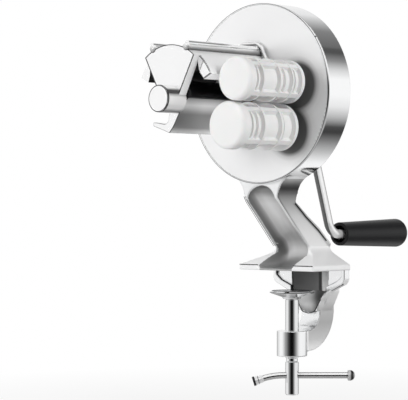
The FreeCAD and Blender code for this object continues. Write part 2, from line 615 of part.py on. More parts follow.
def make_crank():
    """Hub on the back of the shaft, bent rod, and the grip that turns on it."""
    swing = math.radians(value("arm_swing"))
    down = Vector(math.sin(swing), 0, -math.cos(swing))
    back = Vector(0, 1, 0)
    axis = Vector(value("crank_x"), value("arm_plane"), value("crank_z"))
    bend = value("elbow_radius")
    corner = axis + down * value("crank_throw")
    root = axis + down * value("arm_root")
    before = corner - down * bend
    after = corner + back * bend
    heart = before + back * bend
    middle = heart + (down - back).normalize() * bend
    end = Vector(corner.x, value("arm_end"), corner.z)
    path = Part.Wire([Part.makeLine(root, before), Part.Arc(before, middle, after).toShape(),
                      Part.makeLine(after, end)])
    section = Part.Wire(Part.makeCircle(value("arm_radius"), root, down))
    rod = path.makePipeShell([section], True, False)
    node("crank_arm", feature("crank_arm", rod))
    hub_blank = turned("crank_hub_blank", [
        ("shaft_radius", "0"), ("crank_hub_radius - hub_edge", "0"),
        ("crank_hub_radius", "hub_edge", "hub_edge"),
        ("crank_hub_radius", "crank_hub_length - hub_round"),
        ("crank_hub_radius - hub_round", "crank_hub_length", "hub_round"),
        ("shaft_radius", "crank_hub_length")],
        on(CRANK, "crank_hub_front"))
    rod_hole = feature("rod_hole", Part.makeCylinder(
        value("arm_radius"), value("crank_hub_radius"), root, down))
    grub_hole = cylinder("grub_hole", "grub_radius", "grub_length",
                         ("crank_x", "arm_plane", "crank_z + shaft_radius"), ALONG_Z)
    node("crank_hub", carve("crank_hub", hub_blank, rod_hole, grub_hole))
    node("hub_screw", cylinder("hub_screw", "grub_radius", "grub_length",
                               ("crank_x", "arm_plane", "crank_z + shaft_radius"), ALONG_Z))
    make_grip()


def make_grip():
    axis = ("crank_x + crank_throw * sin(arm_swing)", "crank_z - crank_throw * cos(arm_swing)")
    bore = "arm_radius + seat_gap"
    length = "grip_back - grip_front"
    well = "grip_well_start - grip_front"
    node("grip", turned("grip", [
        (bore, "grip_mouth_deep"), ("grip_mouth", "grip_mouth_deep"), ("grip_mouth", "0"),
        ("grip_near - edge_bevel", "0"), ("grip_near", "edge_bevel", "edge_bevel"),
        ("grip_far", length + " - grip_round"), ("grip_far - grip_round", length, "grip_round"),
        ("grip_well", length), ("grip_well", well), (bore, well)], on(axis, "grip_front")))
    node("grip_cap", turned("grip_cap", [
        ("0", "0"), ("grip_well", "0"), ("grip_well", "grip_cap_thick"),
        ("0", "grip_cap_thick")], on(axis, "grip_back - grip_cap_thick")))
    node("grip_nut", turned("grip_nut", [
        ("arm_radius", "0"), ("nut_radius", "0"), ("nut_radius", "nut_thick - nut_round"),
        ("nut_radius - nut_round", "nut_thick", "nut_round"), ("arm_radius", "nut_thick")],
        on(axis, "nut_front")))


def make_leg():
    """Slanted leg with a rounded trough in its front, flared into the drum and into the foot."""
    corner_z = "foot_thick + (foot_half - leg_half) * tan(side_lean)"
    reach = "side_round * (1 - sin(side_lean)) / cos(side_lean)"
    flare_x = "leg_half + flare_radius"
    flare_z = f"drum_rise - sqrt((drum_radius + flare_radius) ^ 2 - ({flare_x}) ^ 2)"
    share = "drum_radius / (drum_radius + flare_radius)"
    touch_x = f"({flare_x}) * {share}"
    touch_z = f"drum_rise - (drum_rise - ({flare_z})) * {share}"
    front = prism("leg_front", mirrored([
        ("foot_half", "0"), ("foot_half", "foot_thick"),
        (f"leg_half + {reach} * cos(side_lean)", f"{corner_z} - {reach} * sin(side_lean)"),
        ("leg_half", f"{corner_z} + {reach}", "-side_round"), ("leg_half", flare_z),
        (touch_x, touch_z, "-flare_radius"), (touch_x, "leg_top")]),
        "leg_span", ("0", "leg_span / 2", "0"), FRONT)
    side = prism("leg_side", [
        ("foot_front", "0"), ("foot_back", "0"), ("foot_back", "heel_z"), ("calf_y", "calf_z"),
        ("upper_calf_y", "upper_calf_z"), ("leg_back", "leg_back_z"), (DRUM_BACK, "leg_corner_z"),
        (DRUM_BACK, "leg_top"), ("leg_front", "leg_top"), ("leg_front", "leg_front_z"),
        ("shin_y", "shin_z"), ("toe_y", "toe_z", "-toe_radius"), ("foot_front", "foot_thick")],
        "2 * (foot_half + over)", ("-foot_half - over", "0", "0"), SIDE)
    drum = cylinder("drum_seat", "drum_radius", "leg_span",
                    ("0", "-leg_span / 2", "drum_rise"))
    rebate = block("plate_rebate", ("2 * foot_half", "foot_back", "rebate"),
                   ("-foot_half", "plate_front", "0"))
    node("support_leg", carve("support_leg", overlap("leg_form", front, side), drum, rebate,
                              *trough_tools()))


def trough_tools():
    """A slanted round bar with a ball end, and the mouth that opens over the toe."""
    lean = value("trough_lean")
    tilt = Rotation(Vector(1, 0, 0), lean)
    offset = "(trough_radius - trough_deep)"
    start = ("0", f"shin_y - {offset} * cos(trough_lean)", f"shin_z - {offset} * sin(trough_lean)")
    length = f"(trough_end - shin_z) / cos(trough_lean)"
    bar = cylinder("trough_bar", "trough_radius", length, start, tilt)
    ball = doc.addObject("Part::Sphere", "trough_ball")
    ball.setExpression("Radius", cells("trough_radius"))
    place(ball, ("0", f"{start[1]} - {length} * sin(trough_lean)",
                 f"{start[2]} + {length} * cos(trough_lean)"), ALONG_Z)
    mouth = prism("trough_mouth", [
        ("foot_front - over", "mouth_floor"), ("0", "mouth_floor"),
        ("mouth_back", "mouth_back_z", "mouth_round"),
        ("shin_y", "shin_z + mouth_rise"), ("foot_front - over", "shin_z + mouth_rise")],
        "2 * mouth_half", ("-mouth_half", "0", "0"), SIDE)
    return bar, ball, mouth


def make_clamp_frame():
    """C-shaped arm under the foot, with the plate that bears on the table's edge."""
    arm = prism("clamp_arm", [
        ("0", "nut_boss_top"), ("0", "clamp_bottom"), ("arm_foot", "clamp_bottom"),
        ("clamp_back", "clamp_bottom + outer_bend", "outer_bend"), ("clamp_back", "arm_back_z"),
        ("neck_y", "neck_z"), ("head_y", "head_z"), ("foot_back", "heel_z"), ("foot_back", "rebate"),
        ("plate_front", "rebate"), ("plate_front", "arm_front_z"), ("clamp_inner", "clamp_inner_z"),
        ("clamp_inner - inner_bend", "nut_boss_top", "-inner_bend")],
        "2 * arm_half", ("-arm_half", "0", "0"), SIDE)
    plate = prism("clamp_plate", mirrored([
        ("arm_half", "plate_low"), ("plate_neck_x", "plate_neck_z"), ("plate_mid_x", "plate_mid_z"),
        ("plate_half - plate_corner", "plate_corner_z"),
        ("plate_half", "plate_side", "plate_round"), ("plate_half", "rebate")]),
        "foot_back - plate_front", ("0", "foot_back", "0"), FRONT)
    spine = prism("clamp_spine", mirrored([
        ("arm_half", "plate_low"), ("spine_half", "spine_low"), ("spine_half", "rebate")]),
        "spine_back - foot_back", ("0", "spine_back", "0"), FRONT)
    boss = cylinder("nut_boss", "nut_boss_radius", "nut_boss_top - nut_boss_bottom",
                    ("0", "0", "nut_boss_bottom"), ALONG_Z)
    bore = cylinder("nut_bore", "screw_shaft + seat_gap", "nut_boss_top - nut_boss_bottom + 2 * over",
                    ("0", "0", "nut_boss_bottom - over"), ALONG_Z)
    tray = prism("plate_tray", mirrored([
        ("pocket_half", "tray_low"), ("tray_half - plate_corner", "tray_corner_z"),
        ("tray_half", "tray_side"), ("tray_half", "rebate + over")]),
        "tray_deep + over", ("0", "plate_front + tray_deep", "0"), FRONT)
    node("clamp_frame", carve("clamp_frame", join("clamp_solid", arm, plate, spine, boss), bore,
                              tray, spine_pocket()))


def spine_pocket():
    """Channel down the front of the spine, with a round lower end and a floor that rises."""
    depth = "pocket_back - plate_front + over"
    plan = prism("pocket_plan", mirrored([
        ("pocket_foot", "pocket_low"), ("pocket_half", "pocket_wide_z"),
        ("pocket_half", "rebate + over")]),
        depth, ("0", "pocket_back", "0"), FRONT)
    end = cylinder("pocket_end", "pocket_foot", depth, ("0", "plate_front - over", "pocket_low"))
    side = prism("pocket_side", [
        ("plate_front - over", "pocket_bottom"), ("pocket_sill", "pocket_bottom"),
        ("pocket_back", "pocket_rise_z"),
        ("pocket_back", "rebate + over"), ("plate_front - over", "rebate + over")],
        "2 * (pocket_half + over)", ("-pocket_half - over", "0", "0"), SIDE)
    return overlap("spine_pocket", join("pocket_outline", plan, end), side)


def make_clamp_screw():
    """Screw, swivelling pad, the clip that keeps the pad on, and the sliding tommy bar."""
    blank = turned("screw_blank", [
        ("0", "screw_bottom"), ("screw_shaft - screw_bevel", "screw_bottom"),
        ("screw_shaft", "screw_bottom + screw_bevel"), ("screw_shaft", "neck_bottom"),
        ("neck_radius", "neck_bottom + screw_bevel"), ("neck_radius", "neck_top - screw_bevel"),
        ("screw_shaft", "neck_top"), ("screw_shaft", "screw_top - edge_bevel"),
        ("screw_shaft - edge_bevel", "screw_top"), ("screw_tip", "screw_top"),
        ("screw_tip", "screw_tip_top"), ("0", "screw_tip_top")], ORIGIN, ALONG_Z)
    along = Rotation(Vector(0, 0, 1), value("tommy_turn")).multVec(Vector(1, 0, 0))
    middle = Vector(0, 0, value("tommy_z"))
    cross = feature("tommy_hole", Part.makeCylinder(
        value("tommy_radius + seat_gap"), 4 * value("screw_shaft"),
        middle - along * 2 * value("screw_shaft"), along))
    node("clamp_screw", carve("clamp_screw", blank, cross))
    node("swivel_pad", turned("swivel_pad", [
        ("screw_tip + pad_slack", "pad_bottom"), ("pad_foot", "pad_bottom"),
        ("pad_knee", "pad_bottom + pad_knee_rise"), ("pad_radius - pad_lip", "pad_rim - 2 * pad_lip"),
        ("pad_radius", "pad_rim - pad_lip"), ("pad_radius - edge_bevel", "pad_rim"),
        ("pad_radius - 2 * pad_lip", "pad_rim"), ("pad_knee", "pad_dish"),
        ("screw_tip + pad_slack", "pad_dish")], ORIGIN, ALONG_Z))
    node("pad_clip", turned("pad_clip", [
        ("screw_tip", "pad_dish + pad_slack"), ("pad_clip_radius", "pad_dish + pad_slack"),
        ("pad_clip_radius", "pad_dish + pad_slack + pad_clip_thick"),
        ("screw_tip", "pad_dish + pad_slack + pad_clip_thick")], ORIGIN, ALONG_Z))
    make_tommy_bar(middle, along)


def make_tommy_bar(middle, along):
    up = Vector(0, 0, 1)
    right_end = middle + along * value("tommy_right")
    bend_start = middle - along * value("tommy_straight")
    bend = value("tommy_bend")
    turn = math.radians(value("tommy_bend_turn"))
    heart = bend_start - up * bend
    half = heart + (up * math.cos(turn / 2) - along * math.sin(turn / 2)) * bend
    bend_end = heart + (up * math.cos(turn) - along * math.sin(turn)) * bend
    outward = along * -math.cos(turn) - up * math.sin(turn)
    path = Part.Wire([Part.makeLine(right_end, bend_start),
                      Part.Arc(bend_start, half, bend_end).toShape()])
    section = Part.Wire(Part.makeCircle(value("tommy_radius"), right_end, along))
    node("tommy_bar", feature("tommy_bar", path.makePipeShell([section], True, False)))
    knob = value("knob_radius")
    ball = Part.makeSphere(knob, right_end + along * knob * value("knob_set"))
    front = Part.makeCylinder(knob + value("over"), 2 * knob, right_end - along * 2 * knob, along)
    node("tommy_knob", feature("tommy_knob", ball.cut(front)))
    length = value("ferrule_length")
    narrow = value("ferrule_radius")
    sleeve = Part.makeCone(value("tommy_radius + ferrule_wall"), narrow, length, bend_end, outward)
    hollow = value("ferrule_well")
    well = Part.makeCylinder(narrow - value("ferrule_rim"), hollow,
                             bend_end + outward * (length - hollow), outward)
    node("tommy_ferrule", feature("tommy_ferrule", sleeve.cut(well)))


make_housing()
make_back_cover()
make_bushes()
make_bracket()
make_crank_shaft()
make_cutter()
make_rollers()
make_crank()
make_leg()
make_clamp_frame()
make_clamp_screw()
doc.recompute()

for thing in doc.Objects:
    faults = [state for state in thing.State if state in ("Invalid", "Error")]
    if faults:
        raise RuntimeError(f"{thing.Name} did not recompute: {faults}")
for piece in MADE:
    if piece.Shape.isNull() or not piece.Shape.isValid():
        raise RuntimeError(f"{piece.Label} has no valid shape")
    piece.Shape.exportStep(f"parts/{piece.Label}.step")
    box = piece.Shape.BoundBox
    print(f"{piece.Label}: {len(piece.Shape.Solids)} solids, {piece.Shape.Volume / 1000:.2f} cm3, "
          f"X {box.XMin:.1f} {box.XMax:.1f} Y {box.YMin:.1f} {box.YMax:.1f} "
          f"Z {box.ZMin:.1f} {box.ZMax:.1f}")
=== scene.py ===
# Cavatelli maker: finishes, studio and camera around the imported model
import bmesh
import bpy
import json
import math
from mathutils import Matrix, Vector


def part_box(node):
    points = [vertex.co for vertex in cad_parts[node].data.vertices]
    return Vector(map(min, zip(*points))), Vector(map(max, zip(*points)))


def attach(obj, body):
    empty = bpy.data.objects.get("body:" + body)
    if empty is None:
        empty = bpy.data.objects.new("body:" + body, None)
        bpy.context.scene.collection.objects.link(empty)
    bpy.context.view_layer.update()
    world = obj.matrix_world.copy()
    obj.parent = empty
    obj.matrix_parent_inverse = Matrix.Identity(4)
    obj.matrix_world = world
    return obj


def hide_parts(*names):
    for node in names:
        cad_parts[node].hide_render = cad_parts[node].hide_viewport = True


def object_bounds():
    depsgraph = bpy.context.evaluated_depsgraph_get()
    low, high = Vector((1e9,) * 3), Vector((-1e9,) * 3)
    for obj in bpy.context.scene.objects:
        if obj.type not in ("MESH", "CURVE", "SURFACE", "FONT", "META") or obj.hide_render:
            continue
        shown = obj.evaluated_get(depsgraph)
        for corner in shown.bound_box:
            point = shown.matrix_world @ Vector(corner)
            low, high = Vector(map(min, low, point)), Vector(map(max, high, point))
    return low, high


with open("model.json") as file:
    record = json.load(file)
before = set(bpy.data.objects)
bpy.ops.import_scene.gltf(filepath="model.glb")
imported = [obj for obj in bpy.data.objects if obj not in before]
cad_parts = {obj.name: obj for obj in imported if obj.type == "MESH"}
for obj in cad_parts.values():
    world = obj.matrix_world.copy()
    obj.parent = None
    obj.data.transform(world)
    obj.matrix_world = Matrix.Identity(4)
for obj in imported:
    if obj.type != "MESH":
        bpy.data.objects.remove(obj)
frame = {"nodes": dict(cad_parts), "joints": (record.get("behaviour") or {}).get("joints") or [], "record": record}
CAD_BOX = [list(corner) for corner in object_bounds()]
MM = 0.001
JOINTS = {joint["name"]: joint for joint in frame["joints"]}


def in_mm(point):
    """A point of the model in millimetres, to a tenth."""
    return [round(place / MM, 1) for place in point]


# Directions. The materials' painted bands of light and shade run along X, up, or the way the tommy bar points.
ALONG_X = (1, 0, 0)
ALONG_Y = (0, 1, 0)
UPWARD = (0, 0, 1)
BAR_WAY = tuple(JOINTS["tommy_slide"]["axis"])

# The photograph's camera is level: its place is in metres and its lens in millimetres.
CAMERA_TURN = math.radians(42.77)
CAMERA_PLACE = (1.00163, -1.19414, 0.06005)
CAMERA_LENS = 159.85
TO_CAMERA = (math.sin(CAMERA_TURN), -math.cos(CAMERA_TURN), 0)
TO_ITS_RIGHT = (math.cos(CAMERA_TURN), math.sin(CAMERA_TURN), 0)

# The studio as polished metal sees it: degrees and the share of white on screen.
FRONT_CARDS = [(-150, 0.80), (-100, 1.0), (-80, 0.97), (-55, 0.64), (-41, 0.50), (-29, 0.28),
               (-14, 0.06), (0, 0.04), (8, 0.12), (17, 0.34), (30, 0.60), (52, 0.94),
               (72, 1.0), (95, 0.92), (116, 0.80), (150, 0.68)]
BACK_CARDS = [(-160, 0.62), (-145, 0.58), (-120, 0.84), (-108, 1.0), (-98, 0.97), (-80, 0.76),
              (-60, 0.46), (-50, 0.24), (-42, 0.30), (-30, 0.72), (-15, 0.94), (0, 1.0), (20, 1.0),
              (32, 0.86), (44, 0.56), (56, 0.32), (62, 0.34), (64, 0.42), (90, 0.52),
              (105, 0.72), (125, 0.92), (150, 0.95)]
# What lies below it, from left to right, and its ceiling.
GROUND = [(-0.7, 0.88), (-0.3, 0.86), (0.0, 0.76), (0.25, 0.70), (0.9, 0.68)]
CEILING = 0.97
# Each lamp's place, what it points at, its two sides in metres and its power in watts.
LAMPS = {"key": ((-0.7, -1.4, 0.4), (0, -0.05, 0.12), (0.7, 0.7), 16),
         "fill": ((1.5, -0.2, 0.8), (0, -0.05, 0.1), (0.7, 1.0), 16)}

# Sizes and places of the object are in millimetres from here on.
DRUM_RADIUS = in_mm(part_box("gear_housing")[1])[0]
DRUM_CENTRE = in_mm(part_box("gear_housing")[1])[2] - DRUM_RADIUS
DRUM_FRONT = in_mm(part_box("front_bracket")[1])[1]
CRANK_X, _, CRANK_Z = in_mm(JOINTS["crank_turn"]["pos_m"])
# Middles of the painted shadow rings round the rollers on the drum's face.
ROLLER_SHADOWS = [(42, 154.5), (34, 117)]

# The leg from the front: a sloping foot, a waist and a flare into the drum.
LEG_HALF = 19
FOOT_HALF = in_mm(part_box("support_leg")[1])[0]
FOOT_THICK = 4.6
SIDE_LEAN = math.radians(28.4)
SIDE_ROUND = 7
WAIST_START = 20.67
FLARE = 20
# The leg from the side, as Y and Z: corners of its front and of its back.
LEG_FRONT = in_mm(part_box("support_leg")[0])[1]
FOOT_FRONT = -22
FOOT_BACK = in_mm(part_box("support_leg")[1])[1]
LEG_TOP = 90
SHOULDER = (LEG_FRONT, 61.6)
KNEE = (3.7, 15.75)
KNEE_ROUND = 5
TOE = (FOOT_FRONT, FOOT_THICK)
CALF = [(FOOT_BACK, 22), (13.1, 35.9), (-3.9, 47.4), (-17.4, 57.5)]
# The front and the half width of the trough's opening, by height.
TROUGH_FRONT = [(-10, FOOT_FRONT), (FOOT_THICK, FOOT_FRONT), (15, 0.9), (18, 1.2),
                SHOULDER[::-1], (LEG_TOP, LEG_FRONT)]
TROUGH_HALF = [(14, 19.4), (14.1, 18.6), (22, 18.6), (22.1, 16)]

# The front and the half width of the hollow in the clamp's spine, by height.
CHANNEL_FRONT = [(-40, 26.2), (-31, 23), (-22, 23), (-15, 25.2), (5, 25.2)]
CHANNEL_HALF = [(-38, 4), (-36, 7), (-29, 11.5), (-24, 15), (-19, 19), (5, 20.7)]
LOBE_TOP = -19
LOBE_FOOT = -38.2

# The fan plate before the hood and its corner, and the middles of the ribs along the hood.
FAN_FRONT = -134.1
FAN_BACK = -125.6
FAN_CORNER = (27, 34.8)
RIB_REACH = 45.9
RIB_LEAN = 24
HUB_RADIUS = 11.2
HUB_END = in_mm(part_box("front_bracket")[0])[1]

# The tommy bar: straight through the screw, then bent downwards.
BAR_HEIGHT = -90.6
BAR_RADIUS = 2.65
BAR_KNOB_END = 48
BEND_START = -7
BEND_RADIUS = 60
BEND_DEGREES = 17


class Term:
    """A node's output, with which sums can be written; each step adds a Math node."""

    def __init__(self, finish, socket):
        self.finish = finish
        self.socket = socket

    def maths(self, operation, *values):
        """Adds one Math node."""
        return self.finish.node("ShaderNodeMath", {"operation": operation},
                                dict(enumerate(values)))

    def __add__(self, other):
        return self.maths("ADD", self, other)

    def __radd__(self, other):
        return self.maths("ADD", other, self)

    def __sub__(self, other):
        return self.maths("SUBTRACT", self, other)

    def __rsub__(self, other):
        return self.maths("SUBTRACT", other, self)

    def __mul__(self, other):
        return self.maths("MULTIPLY", self, other)

    def __rmul__(self, other):
        return self.maths("MULTIPLY", other, self)

    def __truediv__(self, other):
        return self.maths("DIVIDE", self, other)

    def __rtruediv__(self, other):
        return self.maths("DIVIDE", other, self)


class Finish:
    """The nodes of one material or of the world."""

    def __init__(self, owner):
        owner.use_nodes = True
        self.tree = owner.node_tree
        self.tree.nodes.clear()

    def node(self, kind, settings=None, inputs=None, output=0):
        """Adds a node: first its settings, then the values or links of its sockets."""
        made = self.tree.nodes.new(kind)
        for name, setting in (settings or {}).items():
            if name == "stops":
                self.set_stops(made.color_ramp, setting)
            else:
                setattr(made, name, setting)
        for name, value in (inputs or {}).items():
            if isinstance(value, Term):
                self.tree.links.new(value.socket, made.inputs[name])
            else:
                made.inputs[name].default_value = value
        return Term(self, made.outputs[output]) if len(made.outputs) else None

    @staticmethod
    def set_stops(ramp, stops):
        """Gives a ramp its stops, each a place and a brightness."""
        while len(ramp.elements) < len(stops):
            ramp.elements.new(0.5)
        for element, (place, shine) in zip(ramp.elements, stops):
            element.position = place
            element.color = (shine, shine, shine, 1)

    def place(self):
        """Where a point lies on the object."""
        return self.node("ShaderNodeTexCoord", output="Object")

    def noise(self, scale, detail=3, stretch=(1, 1, 1)):
        """Noise by place on the object, with features about one metre over the scale."""
        spread = self.node("ShaderNodeMapping", inputs={"Vector": self.place(), "Scale": stretch})
        return self.node("ShaderNodeTexNoise", inputs={
            "Vector": spread, "Scale": scale, "Detail": detail, "Roughness": 0.5})

    def ramp(self, value, *stops):
        """Reads (place, brightness) stops between 0 and 1 at a value."""
        return self.node("ShaderNodeValToRGB", {"stops": stops}, {"Fac": value})

    def measure(self, vector, way):
        """How far a vector reaches along a direction."""
        return self.node("ShaderNodeVectorMath", {"operation": "DOT_PRODUCT"},
                         {0: vector, 1: way}, output=1)

    def bands(self, value, stops):
        """Reads stops whose places are in the value's own unit."""
        low, high = stops[0][0], stops[-1][0]
        return self.ramp((value - low) / (high - low),
                         *(((place - low) / (high - low), shine) for place, shine in stops))

    def mix(self, share, first, second):
        """Blends two colours; a plain colour is three numbers."""
        full = [one if isinstance(one, Term) else (*one, 1) for one in (first, second)]
        return self.node("ShaderNodeMix", {"data_type": "RGBA"},
                         {0: share, 6: full[0], 7: full[1]}, output=2)

    def angle(self, rise, run):
        """The angle of the two lengths, as a share of a full turn with straight ahead at 0.5."""
        return self.node("ShaderNodeMath", {"operation": "ARCTAN2"},
                         {0: rise, 1: run}) / (2 * math.pi) + 0.5

    def bump(self, height, depth, strength):
        """Small relief of a depth in metres."""
        return self.node("ShaderNodeBump", inputs={
            "Height": height, "Distance": depth, "Strength": strength})

    def surface(self, **sockets):
        """Ends a material; base_color stands for the shader's Base Color, and so on."""
        shader = self.node("ShaderNodeBsdfPrincipled", inputs={
            name.replace("_", " ").title().replace("Ior", "IOR"): value
            for name, value in sockets.items()})
        self.node("ShaderNodeOutputMaterial", inputs={"Surface": shader})


CHROME = ((0.90, 0.905, 0.91), (0.95, 0.955, 0.96))
GRAIN_GREY = (0.6, 0.6, 0.6)


def new_finish(name):
    """A new material and its nodes."""
    material = bpy.data.materials.new(name)
    return material, Finish(material)


def mirror_chrome():
    """Polished chrome over a casting: a slow waviness and a little haze."""
    material, coat = new_finish("mirror_chrome")
    wave = coat.noise(30, detail=1)
    haze = coat.noise(900, detail=4)
    coat.surface(base_color=coat.mix(haze, (0.91, 0.915, 0.92), CHROME[1]), metallic=1.0,
                 roughness=coat.noise(140) * 0.04 + 0.06, normal=coat.bump(wave, 0.0001, 0.12))
    return material


def cast_chrome():
    """Plated casting whose polish is softer than the turned parts."""
    material, coat = new_finish("cast_chrome")
    wave = coat.noise(40, detail=1)
    grain = coat.noise(1500)
    coat.surface(base_color=coat.mix(grain, *CHROME), metallic=0.85,
                 roughness=grain * 0.08 + 0.26, normal=coat.bump(wave, 0.0001, 0.2))
    return material


def plate_chrome():
    """Chrome over a soft-edged casting, between mirror and satin."""
    material, coat = new_finish("plate_chrome")
    wave = coat.noise(60, detail=2)
    grain = coat.noise(900)
    coat.surface(base_color=coat.mix(grain, *CHROME), metallic=0.92,
                 roughness=grain * 0.06 + 0.14, normal=coat.bump(wave, 0.0001, 0.2))
    return material


def with_painted_bands(name, bands, metallic, roughness):
    """Metal with painted reflections and shade: its colour changes in bands along directions of the object.

    The bands of a direction are places in millimetres and how bright the painted colour is there.
    """
    material, coat = new_finish(name)
    grain = coat.noise(1500)
    tone = 1.0
    for way, stops in bands.items():
        tone = coat.bands(coat.measure(coat.place(), way) / MM, stops) * tone
    coat.surface(base_color=coat.mix(grain * 0.08, tone, GRAIN_GREY), metallic=metallic,
                 roughness=grain * 0.08 + roughness, normal=coat.bump(grain, 0.00003, 0.3))
    return material


def with_painted_lines(name, across, stops, metallic, roughness):
    """Polished bar with painted highlights and painted dark reflection lines along it, by the way its surface
    faces.
    """
    material, coat = new_finish(name)
    lean = coat.measure(coat.node("ShaderNodeTexCoord", output="Normal"), across)
    grain = coat.noise(700)
    coat.surface(base_color=coat.mix(grain * 0.05, coat.bands(lean, stops), GRAIN_GREY),
                 metallic=metallic, roughness=grain * 0.05 + roughness)
    return material


def white_metal(name, metallic, roughness):
    """Bright satin plating."""
    material, coat = new_finish(name)
    grain = coat.noise(1300)
    coat.surface(base_color=coat.mix(grain, (0.93, 0.93, 0.935), (0.97, 0.97, 0.97)), metallic=metallic,
                 roughness=grain * 0.06 + roughness, normal=coat.bump(grain, 0.00003, 0.3))
    return material


def edge_shade():
    """Painted shade for rounded edges: a near-black colour for the thin dark lines that polished metal shows
    there.
    """
    material, coat = new_finish("edge_shade")
    grain = coat.noise(900)
    coat.surface(base_color=coat.mix(grain, (0.025, 0.025, 0.027), (0.06, 0.06, 0.063)), metallic=0.8,
                 roughness=grain * 0.1 + 0.2)
    return material


def rough_inside():
    """Painted shade inside the hood: a near-black rough skin on the casting."""
    material, coat = new_finish("rough_inside")
    grain = coat.noise(1100, detail=4)
    coat.surface(base_color=coat.mix(grain, (0.012, 0.012, 0.013), (0.04, 0.04, 0.042)), metallic=0.4,
                 roughness=grain * 0.2 + 0.5, normal=coat.bump(grain, 0.0001, 0.5))
    return material


def black_oxide():
    """Painted shade on the sleeve under the hood: a near-black, slightly oily steel."""
    material, coat = new_finish("black_oxide")
    grain = coat.noise(1300, stretch=(1, 0.2, 1))
    coat.surface(base_color=coat.mix(grain, (0.010, 0.010, 0.011), (0.03, 0.03, 0.032)), metallic=0.7,
                 roughness=grain * 0.12 + 0.28)
    return material


def drum_face_satin():
    """Bead-blasted face of the drum: pale and finely grained, with painted shadow darkening it round the rollers.
    """
    material, coat = new_finish("drum_face_satin")
    grain = coat.noise(2600)
    tone = coat.mix(coat.noise(14, detail=2), (0.88, 0.88, 0.885), (0.93, 0.93, 0.93))
    flat = coat.node("ShaderNodeVectorMath", {"operation": "MULTIPLY"}, {0: coat.place(), 1: (1, 0, 1)})
    # Painted shadow: a dark ring round each roller on the face, darkest next to the roller.
    for x, z in ROLLER_SHADOWS:
        away = coat.node("ShaderNodeVectorMath", {"operation": "DISTANCE"},
                         {0: flat, 1: (x * MM, 0, z * MM)}, output=1)
        painted_shadow = coat.bands(away / MM, [(0, 0.12), (18, 0.14), (19.5, 0.36), (21.5, 0.70), (25, 0.94),
                                      (31, 1.0)])
        tone = coat.mix(painted_shadow, (0, 0, 0), tone)
    coat.surface(base_color=tone, metallic=0.03, roughness=0.42 + 0.08 * grain,
                 normal=coat.bump(grain, 0.00004, 0.5), specular_ior_level=0.3)
    return material


def trough_satin():
    """Satin hollow of the leg with painted reflection and shade: darker on its left, a painted bright streak,
    plain grey where it runs over the toe, and painted shade at its round top.
    """
    material, coat = new_finish("trough_satin")
    grain = coat.noise(1500)
    # Painted reflection across the hollow: a dark left wall, a bright streak, then mid grey.
    across = coat.bands(coat.measure(coat.place(), ALONG_X) / MM, [
        (-19, 0.32), (-16.5, 0.26), (-14.5, 0.32), (-12.5, 0.62), (-11, 1.0), (-6, 1.0),
        (-2, 0.84), (4, 0.76), (10, 0.68), (14, 0.40), (16, 0.5)])
    height = coat.measure(coat.place(), UPWARD) / MM
    lower = coat.mix(coat.bands(height, [(6, 0.0), (20, 1.0)]), (0.47, 0.47, 0.47), across)
    # Painted shade darkens the closed top end of the hollow.
    dome = coat.bands(height, [(57, 1.0), (62, 0.8), (67, 0.3), (72, 0.15)])
    tone = coat.mix(dome, (0.08, 0.08, 0.08), lower)
    coat.surface(base_color=coat.mix(grain * 0.08, tone, GRAIN_GREY), metallic=0.68,
                 roughness=grain * 0.08 + 0.38, normal=coat.bump(grain, 0.00003, 0.3))
    return material


def bar_steel():
    """Bright drawn steel, as on the clamp's screw."""
    material, coat = new_finish("bar_steel")
    coat.surface(base_color=coat.mix(coat.noise(500), (0.80, 0.805, 0.81), (0.88, 0.885, 0.89)),
                 metallic=1.0, roughness=coat.noise(220) * 0.05 + 0.05,
                 normal=coat.bump(coat.noise(90, detail=2), 0.00012, 0.3))
    return material


def cut_steel():
    """Machined and oiled gear steel with fine tool marks."""
    material, coat = new_finish("cut_steel")
    marks = coat.noise(1500, detail=2, stretch=(1, 6, 1))
    coat.surface(base_color=coat.mix(marks, (0.40, 0.40, 0.41), (0.56, 0.56, 0.57)), metallic=1.0,
                 roughness=0.28 + 0.12 * marks, normal=coat.bump(marks, 0.00005, 0.5))
    return material


def bearing_bronze():
    """Sintered bronze of the bushes, with open pores."""
    material, coat = new_finish("bearing_bronze")
    pores = coat.noise(3200, detail=4)
    coat.surface(base_color=coat.mix(pores, (0.42, 0.27, 0.11), (0.66, 0.47, 0.24)), metallic=1.0,
                 roughness=0.34 + 0.15 * pores, normal=coat.bump(pores, 0.00005, 0.6))
    return material


def roller_plastic():
    """White moulded plastic with a soft gloss."""
    material, coat = new_finish("roller_plastic")
    grain = coat.noise(700)
    coat.surface(base_color=coat.mix(coat.noise(40, detail=2), (0.84, 0.84, 0.835), (0.89, 0.89, 0.885)),
                 roughness=0.30 + 0.10 * grain, normal=coat.bump(grain, 0.00003, 0.4),
                 subsurface_weight=0.08, subsurface_scale=0.004)
    return material


def grip_plastic():
    """Black moulded grip: a fine spark-eroded grain and slight polish."""
    material, coat = new_finish("grip_plastic")
    grain = coat.noise(1800)
    coat.surface(base_color=coat.mix(grain, (0.006, 0.006, 0.007), (0.014, 0.014, 0.015)),
                 roughness=0.34 + 0.12 * grain, normal=coat.bump(grain, 0.00005, 0.5),
                 specular_ior_level=0.28)
    return material


